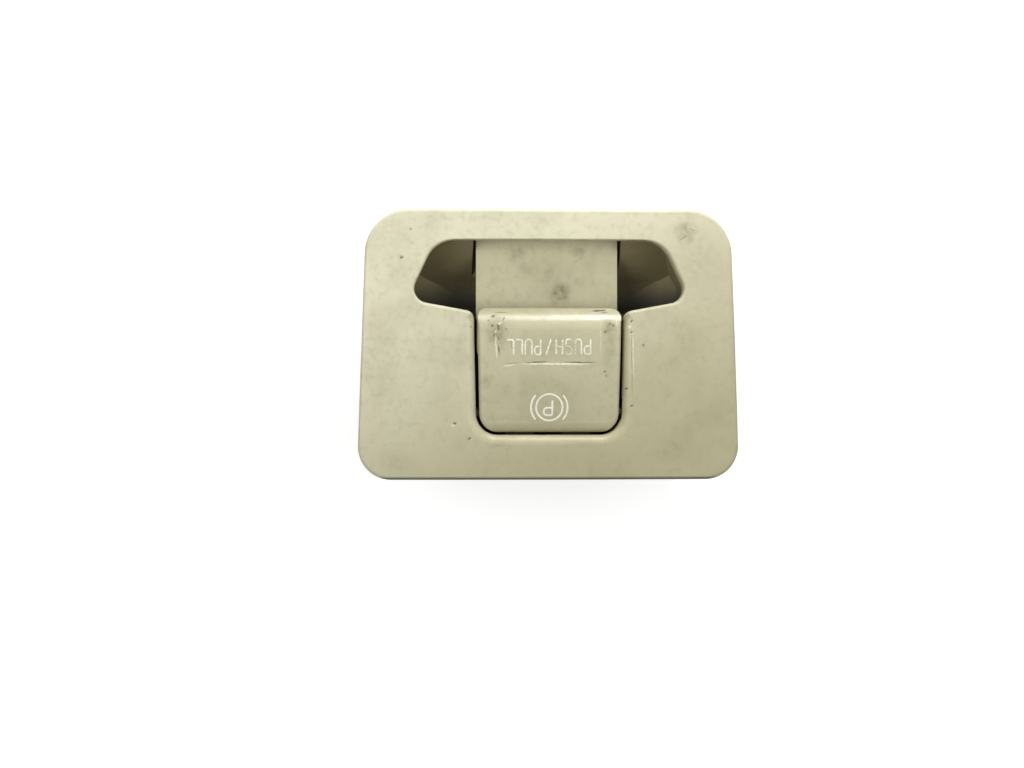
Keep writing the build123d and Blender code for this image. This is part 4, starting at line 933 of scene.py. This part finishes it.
# glass-filled nylon: a greyer black, dull where fibres reach the skin
dress(["handle_carrier", "mechanism_frame"], moulded_plastic(
    "glass_filled_nylon", "#202020", "#2C2B29",
    roughness=0.62, grain_mm=0.5, depth_mm=0.03, IOR=1.53))
# moulded rubber: black and almost without gloss
dress(["push_bumpers"], moulded_plastic(
    "black_rubber", "#161616", "#202020", roughness=0.75, grain_mm=0.4, depth_mm=0.03, IOR=1.52))
# transfer-moulded epoxy: a dry blue-black
dress(["control_chip"], moulded_plastic(
    "chip_epoxy", "#1C1C1E", "#26262A", roughness=0.6, grain_mm=0.2, depth_mm=0.02, IOR=1.55))
# glazed alumina: a glassy dark slate
dress(["board_resistors"], moulded_plastic(
    "glazed_alumina", "#1D1F24", "#2B2E36", roughness=0.3, grain_mm=0.3, depth_mm=0.01, IOR=1.6))
# solder mask on laminate: deep green with a wet look
dress(["circuit_board"], moulded_plastic(
    "solder_mask_green", "#0F4A24", "#14592C",
    roughness=0.35, grain_mm=0.8, depth_mm=0.02, IOR=PLASTIC_IOR))

# %% [markdown]
# ## The pale plastics
#
# The parts that slide or carry light are pale and smooth. The light pipe is the only clear one.

# %% Pale plastics
# moulded acetal: waxy white and slippery
dress(["slider"], moulded_plastic(
    "acetal_white", "#E4E2DA", "#DBD8CE", roughness=0.35, grain_mm=0.6, depth_mm=0.01, IOR=1.48))
# opal polycarbonate: milky, to spread the lamp's light under the symbol
dress(["symbol_insert"], moulded_plastic(
    "opal_polycarbonate", "#E6E6E0", "#DCDCD4",
    roughness=0.4, grain_mm=0.5, depth_mm=0.01, IOR=1.58))
# cast silicone with phosphor: pale yellow
dress(["symbol_led"], moulded_plastic(
    "led_silicone", "#E8E4B8", "#F0EDD0", roughness=0.3, grain_mm=0.3, depth_mm=0.01, IOR=1.45))
# polished acrylic: clear, with bright edges
dress(["light_pipe"], moulded_plastic(
    "clear_acrylic", "#F2F6F6", "#EAF0F0",
    roughness=0.1, grain_mm=1.0, depth_mm=0.005, IOR=1.49, Transmission_Weight=0.9))

# %% [markdown]
# ## Metals
#
# The metal pieces are small. A metal's colour is its reflection, so it gets a metallic shader, and
# its surface is told by roughness that runs in streaks or blotches. Tone, gloss and tool marks
# follow the same pattern, because on a real part they come from the same tool. Real tool marks
# are finer than a pixel, so they are drawn a few tenths of a millimetre wide.

# %% A recipe for metal
STREAK_DETAIL = 4
STREAK_ENDS = (0.25, 0.75)
GLOSS_BELOW, GLOSS_ABOVE = 0.08, 0.1


def worked_metal(name, base_hex, second_hex, roughness, streak_mm, depth_mm):
    """A small metal part: streaky tone and roughness, and tool marks of a real depth."""
    material, tree, shader, place = start_material(name, Metallic=1.0)
    streaks = cloudy(tree, place, streak_mm, detail=STREAK_DETAIL)
    tones = {0: streaks, 6: linear(base_hex), 7: linear(second_hex)}
    tree.links.new(add_node(tree, "Mix", tones, MIXED, **COLOURS), shader.inputs["Base Color"])
    swing = (roughness - GLOSS_BELOW, roughness + GLOSS_ABOVE)
    gloss = cloudy(tree, place, streak_mm, STREAK_ENDS, swing, STREAK_DETAIL)
    tree.links.new(gloss, shader.inputs["Roughness"])
    marks = fine_grain(tree, place, streak_mm, depth_mm, STREAK_DETAIL)
    tree.links.new(marks, shader.inputs["Normal"])
    return material


print("metal gloss swings by", round(GLOSS_BELOW + GLOSS_ABOVE, 2))

# %% [markdown]
# ## The steel pieces
#
# Screws are plated bright, the pins are oiled, the springs are drawn wire, and the clips that grip
# the panel are phosphated nearly black.

# %% Steel
# zinc plate: pale and softly bright
dress(["handle_screws", "well_screws", "assembly_screws", "board_screws", "cover_screws"],
      worked_metal("zinc_plated_steel", "#B9B9B4", "#9C9D9A",
                   roughness=0.35, streak_mm=0.6, depth_mm=0.004))
# ground steel under oil: darker and softer than bare metal
dress(["pivot_pins"], worked_metal(
    "oiled_steel", "#5E5C55", "#4A4843", roughness=0.4, streak_mm=0.5, depth_mm=0.003))
# drawn wire: smooth and steely grey
dress(["front_springs", "rear_springs"], worked_metal(
    "drawn_spring_steel_wire", "#7C7D80", "#66676A",
    roughness=0.3, streak_mm=0.4, depth_mm=0.002))
# phosphate on sheet steel: nearly black, with a dull crystal bloom
dress(["retaining_clips"], worked_metal(
    "phosphated_spring_steel", "#3A3B3D", "#4A4A4A",
    roughness=0.45, streak_mm=0.8, depth_mm=0.004))

# %% [markdown]
# ## Bronze and brass
#
# The bushes are sintered, the contacts pressed from strip, and the plug's pins tinned.

# %% Bronze and brass
# sintered bronze: brown and porous
dress(["pivot_bushes"], worked_metal(
    "sintered_bronze", "#A9804A", "#8C6838", roughness=0.5, streak_mm=0.3, depth_mm=0.01))
# pressed phosphor bronze: warm, rolled smooth
dress(["contact_wipers", "contact_pads"], worked_metal(
    "pressed_phosphor_bronze", "#C49A62", "#B0854F",
    roughness=0.3, streak_mm=0.5, depth_mm=0.002))
# tin over brass: silvery with a soft edge
dress(["connector_pins"], worked_metal(
    "tinned_brass", "#C9C8C2", "#AFAEA8", roughness=0.3, streak_mm=0.4, depth_mm=0.002))
